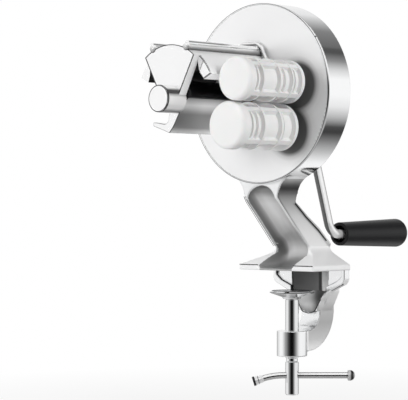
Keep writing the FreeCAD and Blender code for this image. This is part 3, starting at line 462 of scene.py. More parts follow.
# The first six are named as the model's slots.
FINISHES = {
    "chrome_casting": mirror_chrome(),
    "polished_steel": bar_steel(),
    "gear_steel": cut_steel(),
    "bronze": bearing_bronze(),
    "white_plastic": roller_plastic(),
    "black_plastic": grip_plastic(),
    "cast_chrome": cast_chrome(),
    "plate_chrome": plate_chrome(),
    "drum_face": drum_face_satin(),
    "trough": trough_satin(),
    # Painted dark lines for rounded edges.
    "edge": edge_shade(),
    # Painted shade for the hood's inside.
    "dark": rough_inside(),
    # Painted shade for the sleeve under the hood.
    "black": black_oxide(),
    "ferrule": white_metal("ferrule_steel", metallic=0.6, roughness=0.22),
    "foot": white_metal("foot_satin", metallic=0.12, roughness=0.35),
    "bracket": white_metal("bracket_chrome", metallic=0.85, roughness=0.10),
    "hood": white_metal("hood_satin", metallic=0.1, roughness=0.30),
    # Painted reflection bands up the leg's sides, darkest near the drum.
    "flank": with_painted_bands("flank_satin", {UPWARD: [
        (0, 0.95), (13, 0.92), (19, 0.84), (25, 0.80), (32, 0.76), (46, 0.62), (58, 0.36),
        (65, 0.17), (70, 0.13), (76, 0.42), (84, 0.9)]}, metallic=0.92, roughness=0.30),
    # Painted reflection bands down the blade's polished side.
    "blade_side": with_painted_bands("blade_side", {UPWARD: [
        (110, 0.95), (116.5, 0.95), (119.5, 0.42), (130, 0.36), (134.5, 0.75), (137.5, 0.95),
        (140, 0.7), (142.4, 0.4), (143.4, 0.1)]}, metallic=1.0, roughness=0.30),
    # Painted shade and highlight across the clamp's hollow: dark inside, a black line, then a bright strip.
    "channel": with_painted_bands("channel_satin", {BAR_WAY: [
        (-6, 0.03), (1.0, 0.03), (1.8, 0.13), (24.4, 0.16), (25.2, 0.012), (27.0, 0.012),
        (27.8, 0.85), (32, 0.9), (34.5, 0.5), (38, 0.55), (42, 0.7)]}, metallic=0.1, roughness=0.40),
    # Painted shade on the lobe, darker towards its side and its foot.
    "lobe": with_painted_bands("lobe_satin", {
        BAR_WAY: [(4, 0.95), (14, 0.92), (17.5, 0.75), (20, 0.45), (22, 0.2), (24, 0.1)],
        UPWARD: [(-38, 0.3), (-35, 0.6), (-31, 0.95), (-20, 1.0)]}, metallic=0.2, roughness=0.35),
    # Painted shade on the clamp arm's side, darker part way down.
    "arm_side": with_painted_bands("arm_side", {UPWARD: [
        (-75, 0.95), (-66, 0.9), (-60, 0.66), (-46, 0.46), (-36, 0.55), (-28, 0.85),
        (-18, 0.95)]}, metallic=0.15, roughness=0.35),
    # Painted highlights and dark reflection lines round the hub's barrel.
    "hub": with_painted_lines("hub_lines", UPWARD, [
        (-1, 0.4), (-0.95, 0.1), (-0.86, 0.25), (-0.72, 0.85), (0.1, 1.0), (0.27, 0.6),
        (0.4, 0.08), (0.52, 0.01), (0.62, 0.05), (0.72, 0.6), (0.8, 1.0), (1, 1.0)],
        metallic=0.3, roughness=0.2),
    # Painted highlights and dark reflection lines along the ribs.
    "rib": with_painted_lines("rib_steel", UPWARD, [
        (-1, 0.1), (-0.62, 0.14), (-0.3, 0.42), (0.1, 0.72), (0.45, 1.0), (0.75, 0.95),
        (0.86, 0.35), (1, 0.3)], metallic=0.5, roughness=0.22),
    # Painted highlights and dark reflection lines along the tommy bar.
    "bar": with_painted_lines("bar_lines", UPWARD, [
        (-1, 0.2), (-0.93, 0.2), (-0.8, 0.6), (-0.24, 0.5), (-0.14, 0.01), (0.18, 0.01),
        (0.28, 1.0), (0.8, 1.0), (0.9, 0.12), (1, 0.08)], metallic=0.25, roughness=0.2),
    # Painted highlights and dark reflection lines along the crank rod.
    "rod": with_painted_lines("rod_lines", BAR_WAY, [
        (-1, 0.3), (-0.86, 0.14), (-0.4, 0.15), (-0.3, 0.02), (-0.2, 0.9), (0.0, 1.0),
        (0.6, 1.0), (0.8, 0.7), (0.93, 0.25), (1, 0.2)], metallic=0.4, roughness=0.16),
    # Painted reflection on the knob: dark over most of it, bright towards one side.
    "knob": with_painted_lines("knob_steel", BAR_WAY, [
        (-1, 0.5), (0.0, 0.6), (0.12, 0.4), (0.24, 0.0), (0.58, 0.0), (0.74, 0.35),
        (0.9, 0.8), (1, 0.6)], metallic=0.3, roughness=0.2),
}
# Nodes with their own finish; the bar, knob and crank arm get painted reflection lines.
OWN_FINISH = {"tommy_bar": "bar", "tommy_knob": "knob", "tommy_ferrule": "ferrule",
              "crank_arm": "rod", "front_bracket": "bracket"}
# Width in millimetres and least angle in degrees of the edges that are rounded and painted dark.
SOFT_EDGES = {"gear_housing": (0.8, 40), "front_bracket": (1.0, 30)}


def smooth(obj, angle):
    """Smooth shading that keeps edges sharper than the angle."""
    for polygon in obj.data.polygons:
        polygon.use_smooth = True
    obj.data.set_sharp_from_angle(angle=math.radians(angle))


def finish_faces(mesh, choose, *finishes):
    """Adds finishes to a mesh and gives one to each face for which a function names one."""
    first = len(mesh.materials)
    for finish in finishes:
        mesh.materials.append(FINISHES[finish])
    for polygon in mesh.polygons:
        chosen = choose(polygon)
        if chosen:
            polygon.material_index = first + finishes.index(chosen)


def drum_finish(polygon):
    """Satin for the front of the drum."""
    return "drum_face" if abs(polygon.center.y / MM - DRUM_FRONT) < 0.1 else None


def hood_finish(polygon):
    """Satin for the hood's outside and the fan plate's edge, and near-black painted shade for the inside."""
    inside_front, outside_front, edge_front, edge_back = -124, -133, -133.5, -126
    hub, inner_wall, outer_wall, top = 12, 34, 43, 44.5
    x, y, z = polygon.center / MM
    reach = math.hypot(x - CRANK_X, z - CRANK_Z)
    outwards = polygon.normal.x * (x - CRANK_X) + polygon.normal.z * (z - CRANK_Z)
    if y > inside_front and reach > inner_wall and outwards < -0.5 * reach:
        return "dark"
    if y > outside_front and outer_wall < reach < top and outwards > 0.5 * reach:
        return "hood"
    if edge_front < y < edge_back and hub < reach < outer_wall and polygon.normal.x > 0.5:
        return "hood"
    return None


def soften(obj, width, angle):
    """Joins a node's flat faces and rounds its sharp edges, with modifiers only."""
    flat = obj.modifiers.new("faces", "DECIMATE")
    flat.decimate_type = "DISSOLVE"
    flat.angle_limit = math.radians(1)
    flat.delimit = {"MATERIAL"}
    round_edges(obj, width, angle)


def round_edges(piece, width, angle):
    """Small radii on every edge that is sharper than the angle, painted dark as edge shade."""
    piece.data.materials.append(FINISHES["edge"])
    bevel = piece.modifiers.new("edges", "BEVEL")
    bevel.width = width * MM
    bevel.segments = 3
    bevel.limit_method = "ANGLE"
    bevel.angle_limit = math.radians(angle)
    bevel.use_clamp_overlap = True
    bevel.material = len(piece.data.materials) - 1
    smooth(piece, angle)
    even = piece.modifiers.new("shading", "WEIGHTED_NORMAL")
    even.keep_sharp = True


def dress_nodes():
    """Gives each node of the model its own finish or its slot's."""
    for part in frame["record"]["subparts"]:
        obj = frame["nodes"][part["node"]]
        obj.data.materials.clear()
        finish = OWN_FINISH.get(part["node"], part["material_slot"])
        obj.data.materials.append(FINISHES[finish])
        smooth(obj, 30)
    finish_faces(frame["nodes"]["gear_housing"].data, drum_finish, "drum_face")
    finish_faces(frame["nodes"]["front_bracket"].data, hood_finish, "dark", "hood")
    for name, (width, angle) in SOFT_EDGES.items():
        soften(frame["nodes"][name], width, angle)


def new_piece(name, mesh, body, slot, *nodes, finish, soft=None):
    """Adds a finished mesh that rides on a body and stands for nodes of the model.

    With soft, a number of degrees, it is shaded smoothly over edges blunter than that.
    """
    piece = bpy.data.objects.new(name, mesh)
    bpy.context.scene.collection.objects.link(piece)
    mesh.materials.append(FINISHES[finish])
    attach(piece, body)
    if nodes:
        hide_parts(*nodes)
    if soft:
        smooth(piece, soft)
    return piece


def new_trim(name, mesh, finish, soft=None):
    """Adds a mesh to the castings that don't move."""
    return new_piece(name, mesh, "frame", "chrome_casting", finish=finish, soft=soft)


def skin(name, loops, capped=True):
    """A mesh through closed loops of points in millimetres; capped closes both its ends."""
    form = bmesh.new()
    rows = [[form.verts.new(Vector(point) * MM) for point in loop] for loop in loops]
    for first, second in zip(rows, rows[1:]):
        for index in range(len(first)):
            after = (index + 1) % len(first)
            form.faces.new((first[index], first[after], second[after], second[index]))
    if capped:
        form.faces.new(rows[0][::-1])
        form.faces.new(rows[-1])
    bmesh.ops.remove_doubles(form, verts=form.verts, dist=0.01 * MM)
    bmesh.ops.recalc_face_normals(form, faces=form.faces)
    mesh = bpy.data.meshes.new(name)
    form.to_mesh(mesh)
    form.free()
    return mesh


def prism(name, outline, axis, low, high):
    """A flat outline given depth along X or Y: its corners are the other two coordinates."""
    if axis == "Y":
        return skin(name, [[(x, depth, z) for x, z in outline] for depth in (low, high)])
    return skin(name, [[(depth, y, z) for y, z in outline] for depth in (low, high)])


def ring(radius, count=72):
    """A flat circle of points."""
    turns = [2 * math.pi * step / count for step in range(count)]
    return [(radius * math.cos(turn), radius * math.sin(turn)) for turn in turns]


def tube(name, path, radius, sides=10):
    """A thin round bar along a path of points in millimetres."""
    loops = []
    for index, point in enumerate(path):
        ahead = Vector(path[min(index + 1, len(path) - 1)]) - Vector(path[max(index - 1, 0)])
        turn = ahead.to_track_quat("Z", "Y")
        loops.append([Vector(point) + turn @ Vector((x, y, 0)) for x, y in ring(radius, sides)])
    return skin(name, loops)


def about_crank(loop, depth):
    """Points of a flat outline round the crank's axis, at a place along that axis."""
    return [(CRANK_X + x, depth, CRANK_Z + z) for x, z in loop]


def lean_spot(radius, lean):
    """A point at a distance from the crank's axis, leaning in degrees from straight up."""
    return radius * math.sin(math.radians(lean)), radius * math.cos(math.radians(lean))


def between(first, second, share):
    """The number or point a share of the way from the first to the second."""
    if hasattr(first, "__len__"):
        return tuple(a + (b - a) * share for a, b in zip(first, second))
    return first + (second - first) * share


def along(stops, place):
    """Reads a run of (place, value) stops between its stops."""
    for (low, first), (high, second) in zip(stops, stops[1:]):
        if place <= high:
            return between(first, second, max(0, (place - low) / (high - low)))
    return stops[-1][1]


def curve(corners, steps):
    """Points of a path with rounded corners: each corner is a point and its radius."""
    path = []
    for index, (corner, radius) in enumerate(corners):
        spot = Vector(corner)
        if not radius or index in (0, len(corners) - 1):
            path.append(spot)
            continue
        before = (Vector(corners[index - 1][0]) - spot).normalized()
        after = (Vector(corners[index + 1][0]) - spot).normalized()
        half = before.angle(after) / 2
        reach = radius / math.tan(half)
        heart = spot + (before + after).normalized() * radius / math.sin(half)
        start = spot + before * reach - heart
        end = spot + after * reach - heart
        sweep = math.pi - 2 * half
        for step in range(steps + 1):
            share = step / steps
            blend = start * math.sin((1 - share) * sweep) + end * math.sin(share * sweep)
            path.append(heart + blend / math.sin(sweep))
    return path


def measured(path):
    """The path as stops by its length, to be read with along."""
    stops = [(0, tuple(path[0]))]
    for first, second in zip(path, path[1:]):
        stops.append((stops[-1][0] + (Vector(second) - Vector(first)).length, tuple(second)))
    return stops


def shaped(name, mesh, cuts, voxel, rounds):
    """The mesh after its cuts, meshed evenly and smoothed until its edges look cast."""
    work = bpy.data.objects.new(name, mesh)
    bpy.context.scene.collection.objects.link(work)
    tools = []
    for operation, other in cuts:
        tool = bpy.data.objects.new(name + "_tool", other)
        bpy.context.scene.collection.objects.link(tool)
        cut = work.modifiers.new("cut", "BOOLEAN")
        cut.operation = operation
        cut.object = tool
        cut.solver = "EXACT"
        tools.append(tool)
    even = work.modifiers.new("even", "REMESH")
    even.mode = "VOXEL"
    even.voxel_size = voxel * MM
    even.use_smooth_shade = True
    relax = work.modifiers.new("relax", "SMOOTH")
    relax.factor = 0.5
    relax.iterations = rounds
    bpy.context.view_layer.update()
    graph = bpy.context.evaluated_depsgraph_get()
    result = bpy.data.meshes.new_from_object(work.evaluated_get(graph))
    result.name = name
    for thing in (work, *tools):
        bpy.data.objects.remove(thing)
    for polygon in result.polygons:
        polygon.use_smooth = True
    return result


def leg_half(height):
    """Half the width of the leg and foot at a height."""
    ramp_end = WAIST_START - SIDE_ROUND * math.cos(SIDE_LEAN)
    heart = LEG_HALF + FLARE
    flare_start = DRUM_CENTRE - math.sqrt((DRUM_RADIUS + FLARE) ** 2 - heart ** 2)
    if height <= FOOT_THICK:
        return FOOT_HALF
    if height < ramp_end:
        return FOOT_HALF - (height - FOOT_THICK) / math.tan(SIDE_LEAN)
    if height < WAIST_START:
        rise = WAIST_START - height
        return LEG_HALF + SIDE_ROUND - math.sqrt(SIDE_ROUND ** 2 - rise ** 2)
    if height < flare_start:
        return LEG_HALF
    return heart - math.sqrt(FLARE ** 2 - (height - flare_start) ** 2)


def leg_front_outline():
    """The leg and foot seen from the front, up the right side and down the left."""
    top = 95.6
    rows = round(2 * (top - FOOT_THICK))
    heights = [0] + [FOOT_THICK + row / 2 for row in range(rows + 1)]
    drop = math.sqrt((DRUM_RADIUS + FLARE) ** 2 - (LEG_HALF + FLARE) ** 2)
    flare_top = DRUM_CENTRE - drop * DRUM_RADIUS / (DRUM_RADIUS + FLARE)
    right = [(leg_half(min(height, flare_top)), height) for height in heights]
    return right + [(-x, z) for x, z in right[::-1]]


def trough_tool():
    """What the trough takes away: a rounded channel whose lower end opens over the toe."""
    dome, closing = 55.5, 72.5
    rows, steps, over, before = 70, 24, 4, 3
    front = measured(curve([(TOE, 0), (KNEE, KNEE_ROUND), (SHOULDER, 6),
                            ((LEG_FRONT, closing), 0)], 8))
    floor = measured(curve([((FOOT_FRONT, 1.5), 0), ((31.0, 2.2), 15), ((-33.5, 67.6), 5),
                            ((-33.5, closing), 0)], 16))
    length = front[-1][0]
    # Which place along the floor lies behind each place along the front.
    ties = [(0, 0), (10, 16), (20.8, 38), (25.6, 49), (30.4, 57), (34, 61), (45, 72), (60, 87),
            (75, 102), (86, 112.5), (length, floor[-1][0])]
    width = [(0, 19.4), (20, 18.0), (32, 16.2), (42, 15.6), (length, 15.6)]
    # How square the hollow is in section: higher powers give a flatter floor and a fuller wall.
    corner = [(0, 8), (16, 6), (34, 2), (length, 2)]
    wall = [(0, 0.3), (16, 0.36), (34, 0.6), (length, 0.6)]
    loops = []
    for row_number in range(rows + 1):
        place = length * row_number / rows
        rim = along(front, place)
        bed = along(floor, along(ties, place))
        closure = max(0, rim[1] - dome) / (closing - dome)
        half = along(width, place) * math.sqrt(max(0.0004, 1 - closure ** 2))
        deep = max(0.02, 1 - closure ** 2.4) ** 0.5
        out = (Vector(rim) - Vector(bed)).normalized() * over
        row = [(-half, rim[0] + out.x, rim[1] + out.y)]
        for step in range(steps + 1):
            share = math.sin(math.pi * (step / steps - 0.5))
            drop = deep * max(0, 1 - abs(share) ** along(corner, place)) ** along(wall, place)
            row.append((half * share, *between(rim, bed, drop)))
        row.append((half, rim[0] + out.x, rim[1] + out.y))
        loops.append(row)
    first = [(x, y - before, z) for x, y, z in loops[0]]
    return skin("trough_tool", [first] + loops)


def in_trough(polygon):
    """Whether a face of the leg lies in the trough, by its place and the way it faces."""
    toe_half, toe_top, skin_deep, back, sole = 18, 2.5, 0.9, 27.5, 0.3
    x, y, z = polygon.center / MM
    if z < toe_top and abs(x) < toe_half and y < FOOT_FRONT + 1:
        return polygon.normal.y < 0
    deep = y - along(TROUGH_FRONT, z) > skin_deep and y < back and z > sole
    return deep and abs(x) < along(TROUGH_HALF, z) and polygon.normal.y < 0.2


def leg_finish(polygon):
    """The finish of a face of the leg, where it isn't the plain casting: painted shade and reflection in the
    trough and on the flanks, and a brighter satin on the foot.
    """
    flank_start, foot_end = 20.2, 24
    if in_trough(polygon):
        return "trough"
    if abs(polygon.normal.x) > 0.6 and polygon.center.z / MM > flank_start:
        return "flank"
    if polygon.center.z / MM < foot_end and polygon.normal.z > -0.3:
        return "foot"
    return None


def make_leg():
    """Leg and foot as one soft-edged casting with a trough down its front, with painted shade and reflection in
    the trough and on the flanks.
    """
    drum_gap, lip_out, wide, deep, seat_deep = 1.2, 20.7, 45, 50, 60
    side = [(FOOT_FRONT, 0), (FOOT_BACK, 0), *CALF, (-15, 66), (-15, LEG_TOP), (LEG_FRONT, LEG_TOP),
            SHOULDER]
    toe = curve([(SHOULDER, 0), (KNEE, KNEE_ROUND), (TOE, 0)], 8)
    side += [tuple(point) for point in toe[1:]]
    lip = CALF + [(-19.6, 57.5), (-5.2, 45.7), (11.7, 34.2), (27.4, 20.4)]
    seat = [(x, DRUM_CENTRE + z) for x, z in ring(DRUM_RADIUS - drum_gap, 120)]
    form = prism("leg_form", leg_front_outline(), "Y", -deep, deep)
    cuts = [("INTERSECT", prism("leg_side", side, "X", -wide, wide)),
            ("DIFFERENCE", prism("drum_seat", seat, "Y", -seat_deep, seat_deep)),
            ("UNION", prism("leg_lip", lip, "X", -lip_out, lip_out)),
            ("DIFFERENCE", trough_tool())]
    mesh = shaped("leg_casting", form, cuts, voxel=0.8, rounds=5)
    new_piece("leg_casting", mesh, "frame", "chrome_casting", "support_leg", finish="cast_chrome")
    finish_faces(mesh, leg_finish, "trough", "flank", "foot")


def channel_tool():
    """A hollow down the front of the clamp's spine, narrower and shallower towards its foot."""
    steps, mouth = 24, 15
    stations = [(5, 20.5, 12.5), (-14, 20, 12.5), (-19, 18.5, 12), (-24, 14.5, 9.5), (-29, 11, 6.5),
                (-33, 9, 4.5), (-36, 6.5, 3), (-37.5, 3.5, 1.5)]
    floor_edge = [(-40, 25.2), (-31, 22.3), (-22, 22.3), (-15, 24.4), (5, 24.4)]
    loops = []
    for height, half, deep in stations:
        start = along(floor_edge, height)
        row = [(-half, mouth, height)]
        for step in range(steps + 1):
            turn = math.pi * (step / steps - 0.5)
            row.append((half * math.sin(turn), start + deep * math.cos(turn) ** 1.6, height))
        row.append((half, mouth, height))
        loops.append(row)
    return skin("channel_tool", loops)


def clamp_finish(polygon):
    """The finish of a face of the clamp frame, where it isn't the plain casting: painted shade in the hollow, on
    the lobe and the arm's side, and painted dark lines at the hollow's rim and the seam.
    """
    spine_front, spine_back, spine_foot, arm_start, arm_top, boss = 21.5, 38, -37.5, 5, -8, 14
    seam_front, seam_back, seam_foot, seam_half = 22.3, 24.2, -18, 38
    x, y, z = polygon.center / MM
    normal = polygon.normal
    rim = along(CHANNEL_HALF, z)
    front = along(CHANNEL_FRONT, z)
    on_rim = abs(abs(x) - rim) < 0.8 and z > LOBE_TOP - 1
    if on_rim and spine_front < y < front and normal.y < 0.3:
        return "edge"
    outside = x > arm_start and normal.x > 0.4
    hollow = abs(x) < rim + 0.9 and front < y < spine_back and z > spine_foot and normal.y < 0.3
    if hollow and not outside:
        return "channel" if z > LOBE_TOP else "lobe"
    if seam_front < y < seam_back and z > seam_foot and normal.y > -0.8 and abs(x) < seam_half:
        return "edge"
    if math.hypot(x, y) < boss:
        return "chrome_casting"
    if normal.x > 0.5 and z < arm_top:
        return "arm_side"
    return None


def make_clamp():
    """Clamp frame with the soft edges of a casting, painted shade in its hollow and painted dark lines round the
    lobe.
    """
    line_front, line_top, filler_front, filler_back = 21.9, -26, 24.4, 38.4
    half = [(16.3, 2), (16.3, -20), (8.3, -30.2), (6, -36)]
    filler = half + [(0, -38.6)] + [(-x, z) for x, z in half[::-1]]
    cuts = [("UNION", prism("clamp_filler", filler, "Y", filler_front, filler_back)),
            ("DIFFERENCE", channel_tool())]
    casting = frame["nodes"]["clamp_frame"].data.copy()
    casting.materials.clear()
    mesh = shaped("clamp_casting", casting, cuts, voxel=0.6, rounds=3)
    new_piece("clamp_casting", mesh, "frame", "chrome_casting", "clamp_frame",
              finish="plate_chrome")
    finish_faces(mesh, clamp_finish, "channel", "edge", "arm_side", "lobe", "chrome_casting")
    for side in (-1, 1):
        rim = [(side * (along(CHANNEL_HALF, z) + 0.2), line_front, z)
               for z in range(line_top, -38, -1)]
        painted_edge_line(f"lobe_line{side}", rim + [(0, line_front, LOBE_FOOT)], 0.4)


def painted_edge_line(name, path, radius):
    """A thin dark line along an edge of the casting, painted as the shade and reflection that the edge shows."""
    new_trim(name, tube(name, path, radius), "edge", soft=60)


def make_ribs():
    """A rib on each side of the hood's top, rounded at both ends, with painted reflection lines."""
    profile = ((2.6, -134.8), (3.4, -134.0), (3.6, -133.0), (3.6, -47.0), (3.2, -46.2))
    for side, lean in (("left", -RIB_LEAN), ("right", RIB_LEAN)):
        x, z = lean_spot(RIB_REACH, lean)
        rings = [about_crank([(x + a, z + b) for a, b in ring(radius, 40)], depth)
                 for radius, depth in profile]
        name = "rib_bead_" + side
        new_trim(name, skin(name, rings), "rib", soft=50)


def make_hub_end():
    """The hub's polished barrel with painted reflection lines, the groove round its end painted dark as shade, and
    its flat face.
    """
    barrel = ((HUB_RADIUS, FAN_BACK), (HUB_RADIUS, HUB_END + 1.4))
    groove = ((11.15, HUB_END + 1.6), (11.15, HUB_END + 0.4), (10.9, HUB_END - 0.05),
              (9.7, HUB_END - 0.05))
    face = ((10.3, HUB_END + 1), (10.3, HUB_END), (10.1, HUB_END - 0.15))
    for name, finish, profile in (("hub_barrel", "hub", barrel), ("hub_groove", "edge", groove),
                                  ("hub_face", "bracket", face)):
        rings = [about_crank(ring(radius), depth) for radius, depth in profile]
        new_trim(name, skin(name, rings, capped=name == "hub_face"), finish, soft=15)


def make_flange_hook():
    """The hooked round edge of the bracket's rear flange, with painted reflection lines."""
    flange, thick = -47.2, 1.5
    corners = [(-2, 46.5), (2, 49.6), (18.5, 49.4), (23.5, 46), (26, 40.5), (29, 35), (34, 30.5)]
    path = curve([(point, 4) for point in about_crank(corners, flange)], 5)
    new_trim("flange_hook", tube("flange_hook", path, thick), "rib", soft=60)


def make_hood_tip():
    """The curled tip of the hood beside the fan plate, and painted dark lines along the edges of both."""
    tip_front = -127.3
    outer = [lean_spot(43.4, lean) for lean in range(36, 64, 3)]
    inner = [lean_spot(radius, lean) for radius, lean in (
        (35.2, 63), (34.6, 56), (35.2, 49), (37.6, 43), (42, 36.5))]
    loops = [about_crank(outer + inner, depth) for depth in (tip_front, FAN_BACK)]
    new_trim("hood_tip", skin("hood_tip", loops), "bracket")
    fan = [(10.9, 4.5), FAN_CORNER]
    other_side = [(-x, z) for x, z in fan]
    top = [lean_spot(44.1, lean) for lean in range(37, -40, -3)]
    painted_edge_line("fan_line_right", about_crank(fan, FAN_FRONT), 0.45)
    painted_edge_line("fan_line_back", about_crank(fan, FAN_BACK), 0.45)
    painted_edge_line("fan_line_left", about_crank(other_side, FAN_FRONT), 0.35)
    painted_edge_line("fan_line_top", about_crank(top, FAN_FRONT), 0.35)
    painted_edge_line("hood_line", about_crank(outer + inner[:2], tip_front), 0.3)


def make_edge_lines():
    """Painted dark lines, for shade and reflection, along the sharp edges of the foot, leg and drum."""
    for side, start, end in (("left", -40.5, -19.5), ("right", 19.5, 40.5)):
        painted_edge_line("toe_line_" + side, [(start, FOOT_FRONT, 4.5), (end, FOOT_FRONT, 4.5)], 0.4)
    lip = [(-19.2, 57.0), (-5.4, 45.7), (11.4, 34.1), (22, 25.2)]
    painted_edge_line("lip_line", [(19.9, y, z) for y, z in lip], 0.65)
    shin = [(-40.9, 63), (-38.7, 59), (-2.1, 20.4)]
    for name, x in (("leg_line_outer", -18.9), ("leg_line_inner", -17.1)):
        painted_edge_line(name, [(x, y, z) for y, z in shin], 0.22)
    face = [(x, DRUM_FRONT - 0.1, DRUM_CENTRE + z) for x, z in ring(DRUM_RADIUS - 0.4, 180)]
    painted_edge_line("face_line", face + face[:2], 0.2)


def bar_path():
    """The middle of the tommy bar, from its knob to the end of its bend."""
    path = [(reach, BAR_HEIGHT) for reach in (BAR_KNOB_END, 20, BEND_START)]
    for degrees in range(1, BEND_DEGREES + 1):
        turn = math.radians(degrees)
        path.append((BEND_START - BEND_RADIUS * math.sin(turn),
                     BAR_HEIGHT - BEND_RADIUS * (1 - math.cos(turn))))
    return [Vector((reach * BAR_WAY[0], reach * BAR_WAY[1], height)) for reach, height in path]


def make_tommy_rod():
    """The tommy bar as one smooth bent rod, with painted reflection lines."""
    new_piece("tommy_rod", tube("tommy_rod", bar_path(), BAR_RADIUS, 32), "tommy",
              "polished_steel", "tommy_bar", finish="bar", soft=60)


def make_pad_lines():
    """Painted dark lines round the upper and lower rim of the clamp's pad."""
    for name, radius, height in (("pad_line_upper", 17.2, -18), ("pad_line_lower", 18.9, -19.2)):
        rim = [(x, y, height) for x, y in ring(radius, 90)]
        new_piece(name, tube(name, rim + rim[:1], 0.32), "pad", "polished_steel",
                  finish="edge", soft=60)


def make_ferrule_lines():
    """The rim and groove of the ferrule as painted dark lines of shade; the ferrule sits on the tommy bar's bent
    end.
    """
    level = math.cos(math.radians(BEND_DEGREES))
    fall = math.sin(math.radians(BEND_DEGREES))
    away = Vector((-level * BAR_WAY[0], -level * BAR_WAY[1], -fall)).to_track_quat("Z", "Y")
    start = bar_path()[-1]
    rim = ((3.7, 7.2), (4.0, 7.3), (4.2, 9.0), (3.9, 9.3), (2.9, 9.3), (2.8, 8.6))
    groove = ((3.4, 4.2), (3.66, 4.3), (3.7, 4.7), (3.4, 4.8))
    for name, profile in (("ferrule_rim", rim), ("ferrule_groove", groove)):
        rings = [[start + away @ Vector((x, y, place)) for x, y in ring(radius, 32)]
                 for radius, place in profile]
        new_piece(name, skin(name, rings), "tommy", "polished_steel", finish="edge", soft=50)


def blade_outline():
    """The hooked blade in section, round the crank's axis, starting down its polished side."""
    steps = 36
    leans = [(0, 44), (7, 42), (14, 31), (26, 31), (steps, 47)]
    tip = (-8.8, -27.0)
    side = [(12.6, 1.2)]
    for step in range(steps):
        lean = math.radians(-along(leans, step))
        x, z = side[-1]
        side.append((x + math.sin(lean), z - math.cos(lean)))
    # The side ends near the tip, and is stretched evenly to reach it.
    shift = (tip[0] - side[-1][0], tip[1] - side[-1][1])
    side = [(x + shift[0] * number / steps, z + shift[1] * number / steps)
            for number, (x, z) in enumerate(side)]
    corners = [(side[-1], 0), ((-27.2, -20.8), 0.8), ((-27.2, -18), 0.8), ((-23.2, -18.1), 2),
               ((-13.3, -19.8), 2.5), ((-10.1, -17.5), 2.5), ((-8.8, -11.2), 3), ((-6, -8), 2),
               ((-2, 1.2), 1), (side[0], 0)]
    return side + [tuple(point) for point in curve(corners, 4)[1:-1]]


def make_cutter():
    """Hooked blade, whose polished side falls in one sweep, on a sleeve painted near-black as shade under the
    hood.
    """
    outline = blade_outline()
    front, back = (in_mm(corner)[1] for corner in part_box("cutter"))
    mesh = skin("cutter_blade", [about_crank(outline, front), about_crank(outline, back)])
    blade = new_piece("cutter_blade", mesh, "drive", "chrome_casting", "cutter", finish="bracket")
    finish_faces(mesh, blade_finish, "blade_side")
    round_edges(blade, 0.7, 40)
    # The sleeve is an arch on a level base, and a little smaller at its ends.
    sleeve_radius, base = 15.8, 1.3
    arch = [lean_spot(sleeve_radius, 90 - turn) for turn in range(5, 176, 5)]
    loops = [about_crank([(x * share, base + (z - base) * share) for x, z in arch], depth)
             for share, depth in ((0.96, -124.6), (1, -124.0), (1, -48.4), (0.96, -48))]
    # Painted shade: the sleeve is near-black where the hood shades it.
    new_piece("cutter_sleeve", skin("cutter_sleeve", loops), "drive", "chrome_casting",
              finish="black", soft=40)


def blade_finish(polygon):
    """Painted reflection bands for the blade's polished side."""
    return "blade_side" if polygon.normal.x > 0.3 and polygon.normal.z < 0.3 else None


def make_camera():
    """A level camera with a long lens, at the photograph's viewing angle."""
    camera = bpy.data.cameras.new("camera")
    camera.sensor_width = 36
    camera.lens = CAMERA_LENS
    holder = bpy.data.objects.new("camera", camera)
    holder.location = CAMERA_PLACE
    holder.rotation_euler = (math.radians(90), 0, CAMERA_TURN)
    bpy.context.scene.collection.objects.link(holder)
    bpy.context.scene.camera = holder


def make_floor():
    """A pale floor just under the lowest place of the screw; it shows the object's shadow."""
    mesh = bpy.data.meshes.new("floor")
    size, gap = 6, 0.001
    height = CAD_BOX[0][2] + JOINTS["pad_slide"]["range_m"][0] - gap
    mesh.from_pydata([(-size, -size, height), (size, -size, height), (size, size, height),
                      (-size, size, height)], [], [(0, 1, 2, 3)])
    floor = bpy.data.objects.new("floor", mesh)
    bpy.context.scene.collection.objects.link(floor)
    material, coat = new_finish("floor_white")
    seen = coat.node("ShaderNodeLightPath", output="Is Camera Ray")
    matt = coat.node("ShaderNodeBsdfDiffuse", inputs={"Color": (0.70, 0.70, 0.70, 1)})
    glow = coat.node("ShaderNodeEmission", inputs={"Color": (1, 1, 1, 1), "Strength": 1.0})
    # To the camera the floor glows; near the object it is partly matt and shows a faint shadow.
    reach = coat.node("ShaderNodeVectorMath", {"operation": "LENGTH"}, {0: coat.place()}, output=1)
    open_floor = coat.ramp(reach, (0.10, 0.78), (0.55, 1.0))
    both = coat.node("ShaderNodeMixShader", inputs={0: seen * open_floor, 1: matt, 2: glow})
    coat.node("ShaderNodeOutputMaterial", inputs={"Surface": both})
    mesh.materials.append(material)
    floor.visible_glossy = False


def display(share):
    """The light that shows on screen as this share of white."""
    return ((share + 0.055) / 1.055) ** 2.4


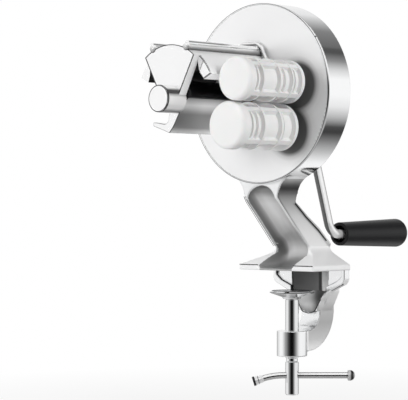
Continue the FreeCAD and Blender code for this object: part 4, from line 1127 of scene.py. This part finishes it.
def make_world():
    """White to the camera; polished metal sees soft boxes with dark cards between them.

    The front cards go round the upright axis: 0 degrees is towards the camera, 90 its right.
    The back cards go round the crank's axis behind the object: 0 is along X and 90 is up.
    """
    world = bpy.data.worlds.new("studio")
    bpy.context.scene.world = world
    studio = Finish(world)
    way = studio.node("ShaderNodeTexCoord", output="Generated")
    x, y, z = (studio.measure(way, axis) for axis in (ALONG_X, ALONG_Y, UPWARD))
    round_upright = studio.angle(studio.measure(way, TO_ITS_RIGHT), studio.measure(way, TO_CAMERA))
    round_crank = studio.angle(z, x)
    front = studio.ramp(round_upright, *((0.5 + degrees / 360, display(share))
                                         for degrees, share in FRONT_CARDS))
    back = studio.ramp(round_crank, *((0.5 + degrees / 360, display(share))
                                      for degrees, share in BACK_CARDS))
    ground = studio.ramp(x * 0.5 + 0.5, *((0.5 + place / 2, display(share))
                                          for place, share in GROUND))
    # A level look meets the front cards, a steep one the ground or the ceiling.
    above = studio.ramp(z * 0.5 + 0.5, (0.4, 0.0), (0.6, 1.0))
    high = studio.mix(above, ground, (display(CEILING),) * 3)
    upright = studio.ramp(studio.node("ShaderNodeMath", {"operation": "ABSOLUTE"}, {0: z}),
                          (0.14, 0.0), (0.45, 1.0))
    behind = studio.ramp(y, (0.2, 0.0), (0.55, 1.0))
    room = studio.mix(behind, studio.mix(upright, front, high), back)
    # Only mirrored rays see the room; what isn't polished gets a soft plain light.
    glossy = studio.node("ShaderNodeLightPath", output="Is Glossy Ray")
    camera = studio.node("ShaderNodeLightPath", output="Is Camera Ray")
    soft = studio.ramp(z * 0.5 + 0.5, (0.0, 0.08), (0.5, 0.05), (0.75, 0.18), (1.0, 0.5))
    shown = studio.mix(camera, studio.mix(glossy, soft, room), (1, 1, 1))
    sky = studio.node("ShaderNodeBackground", inputs={"Color": shown, "Strength": 1.0})
    studio.node("ShaderNodeOutputWorld", inputs={"Surface": sky})


def area_light(name, place, target, size, power):
    """A soft lamp that points at a target and isn't mirrored in the metal."""
    data = bpy.data.lights.new(name, "AREA")
    data.shape = "RECTANGLE"
    data.size, data.size_y = size
    data.energy = power
    lamp = bpy.data.objects.new(name, data)
    lamp.location = place
    lamp.rotation_euler = (Vector(target) - Vector(place)).to_track_quat("-Z", "Y").to_euler()
    lamp.visible_glossy = False
    bpy.context.scene.collection.objects.link(lamp)


bpy.context.scene.view_settings.view_transform = "Standard"
dress_nodes()
make_leg()
make_clamp()
make_ribs()
make_hub_end()
make_flange_hook()
make_hood_tip()
make_edge_lines()
make_tommy_rod()
make_pad_lines()
make_ferrule_lines()
make_cutter()
make_camera()
make_floor()
make_world()
for lamp_name, settings in LAMPS.items():
    area_light(lamp_name, *settings)
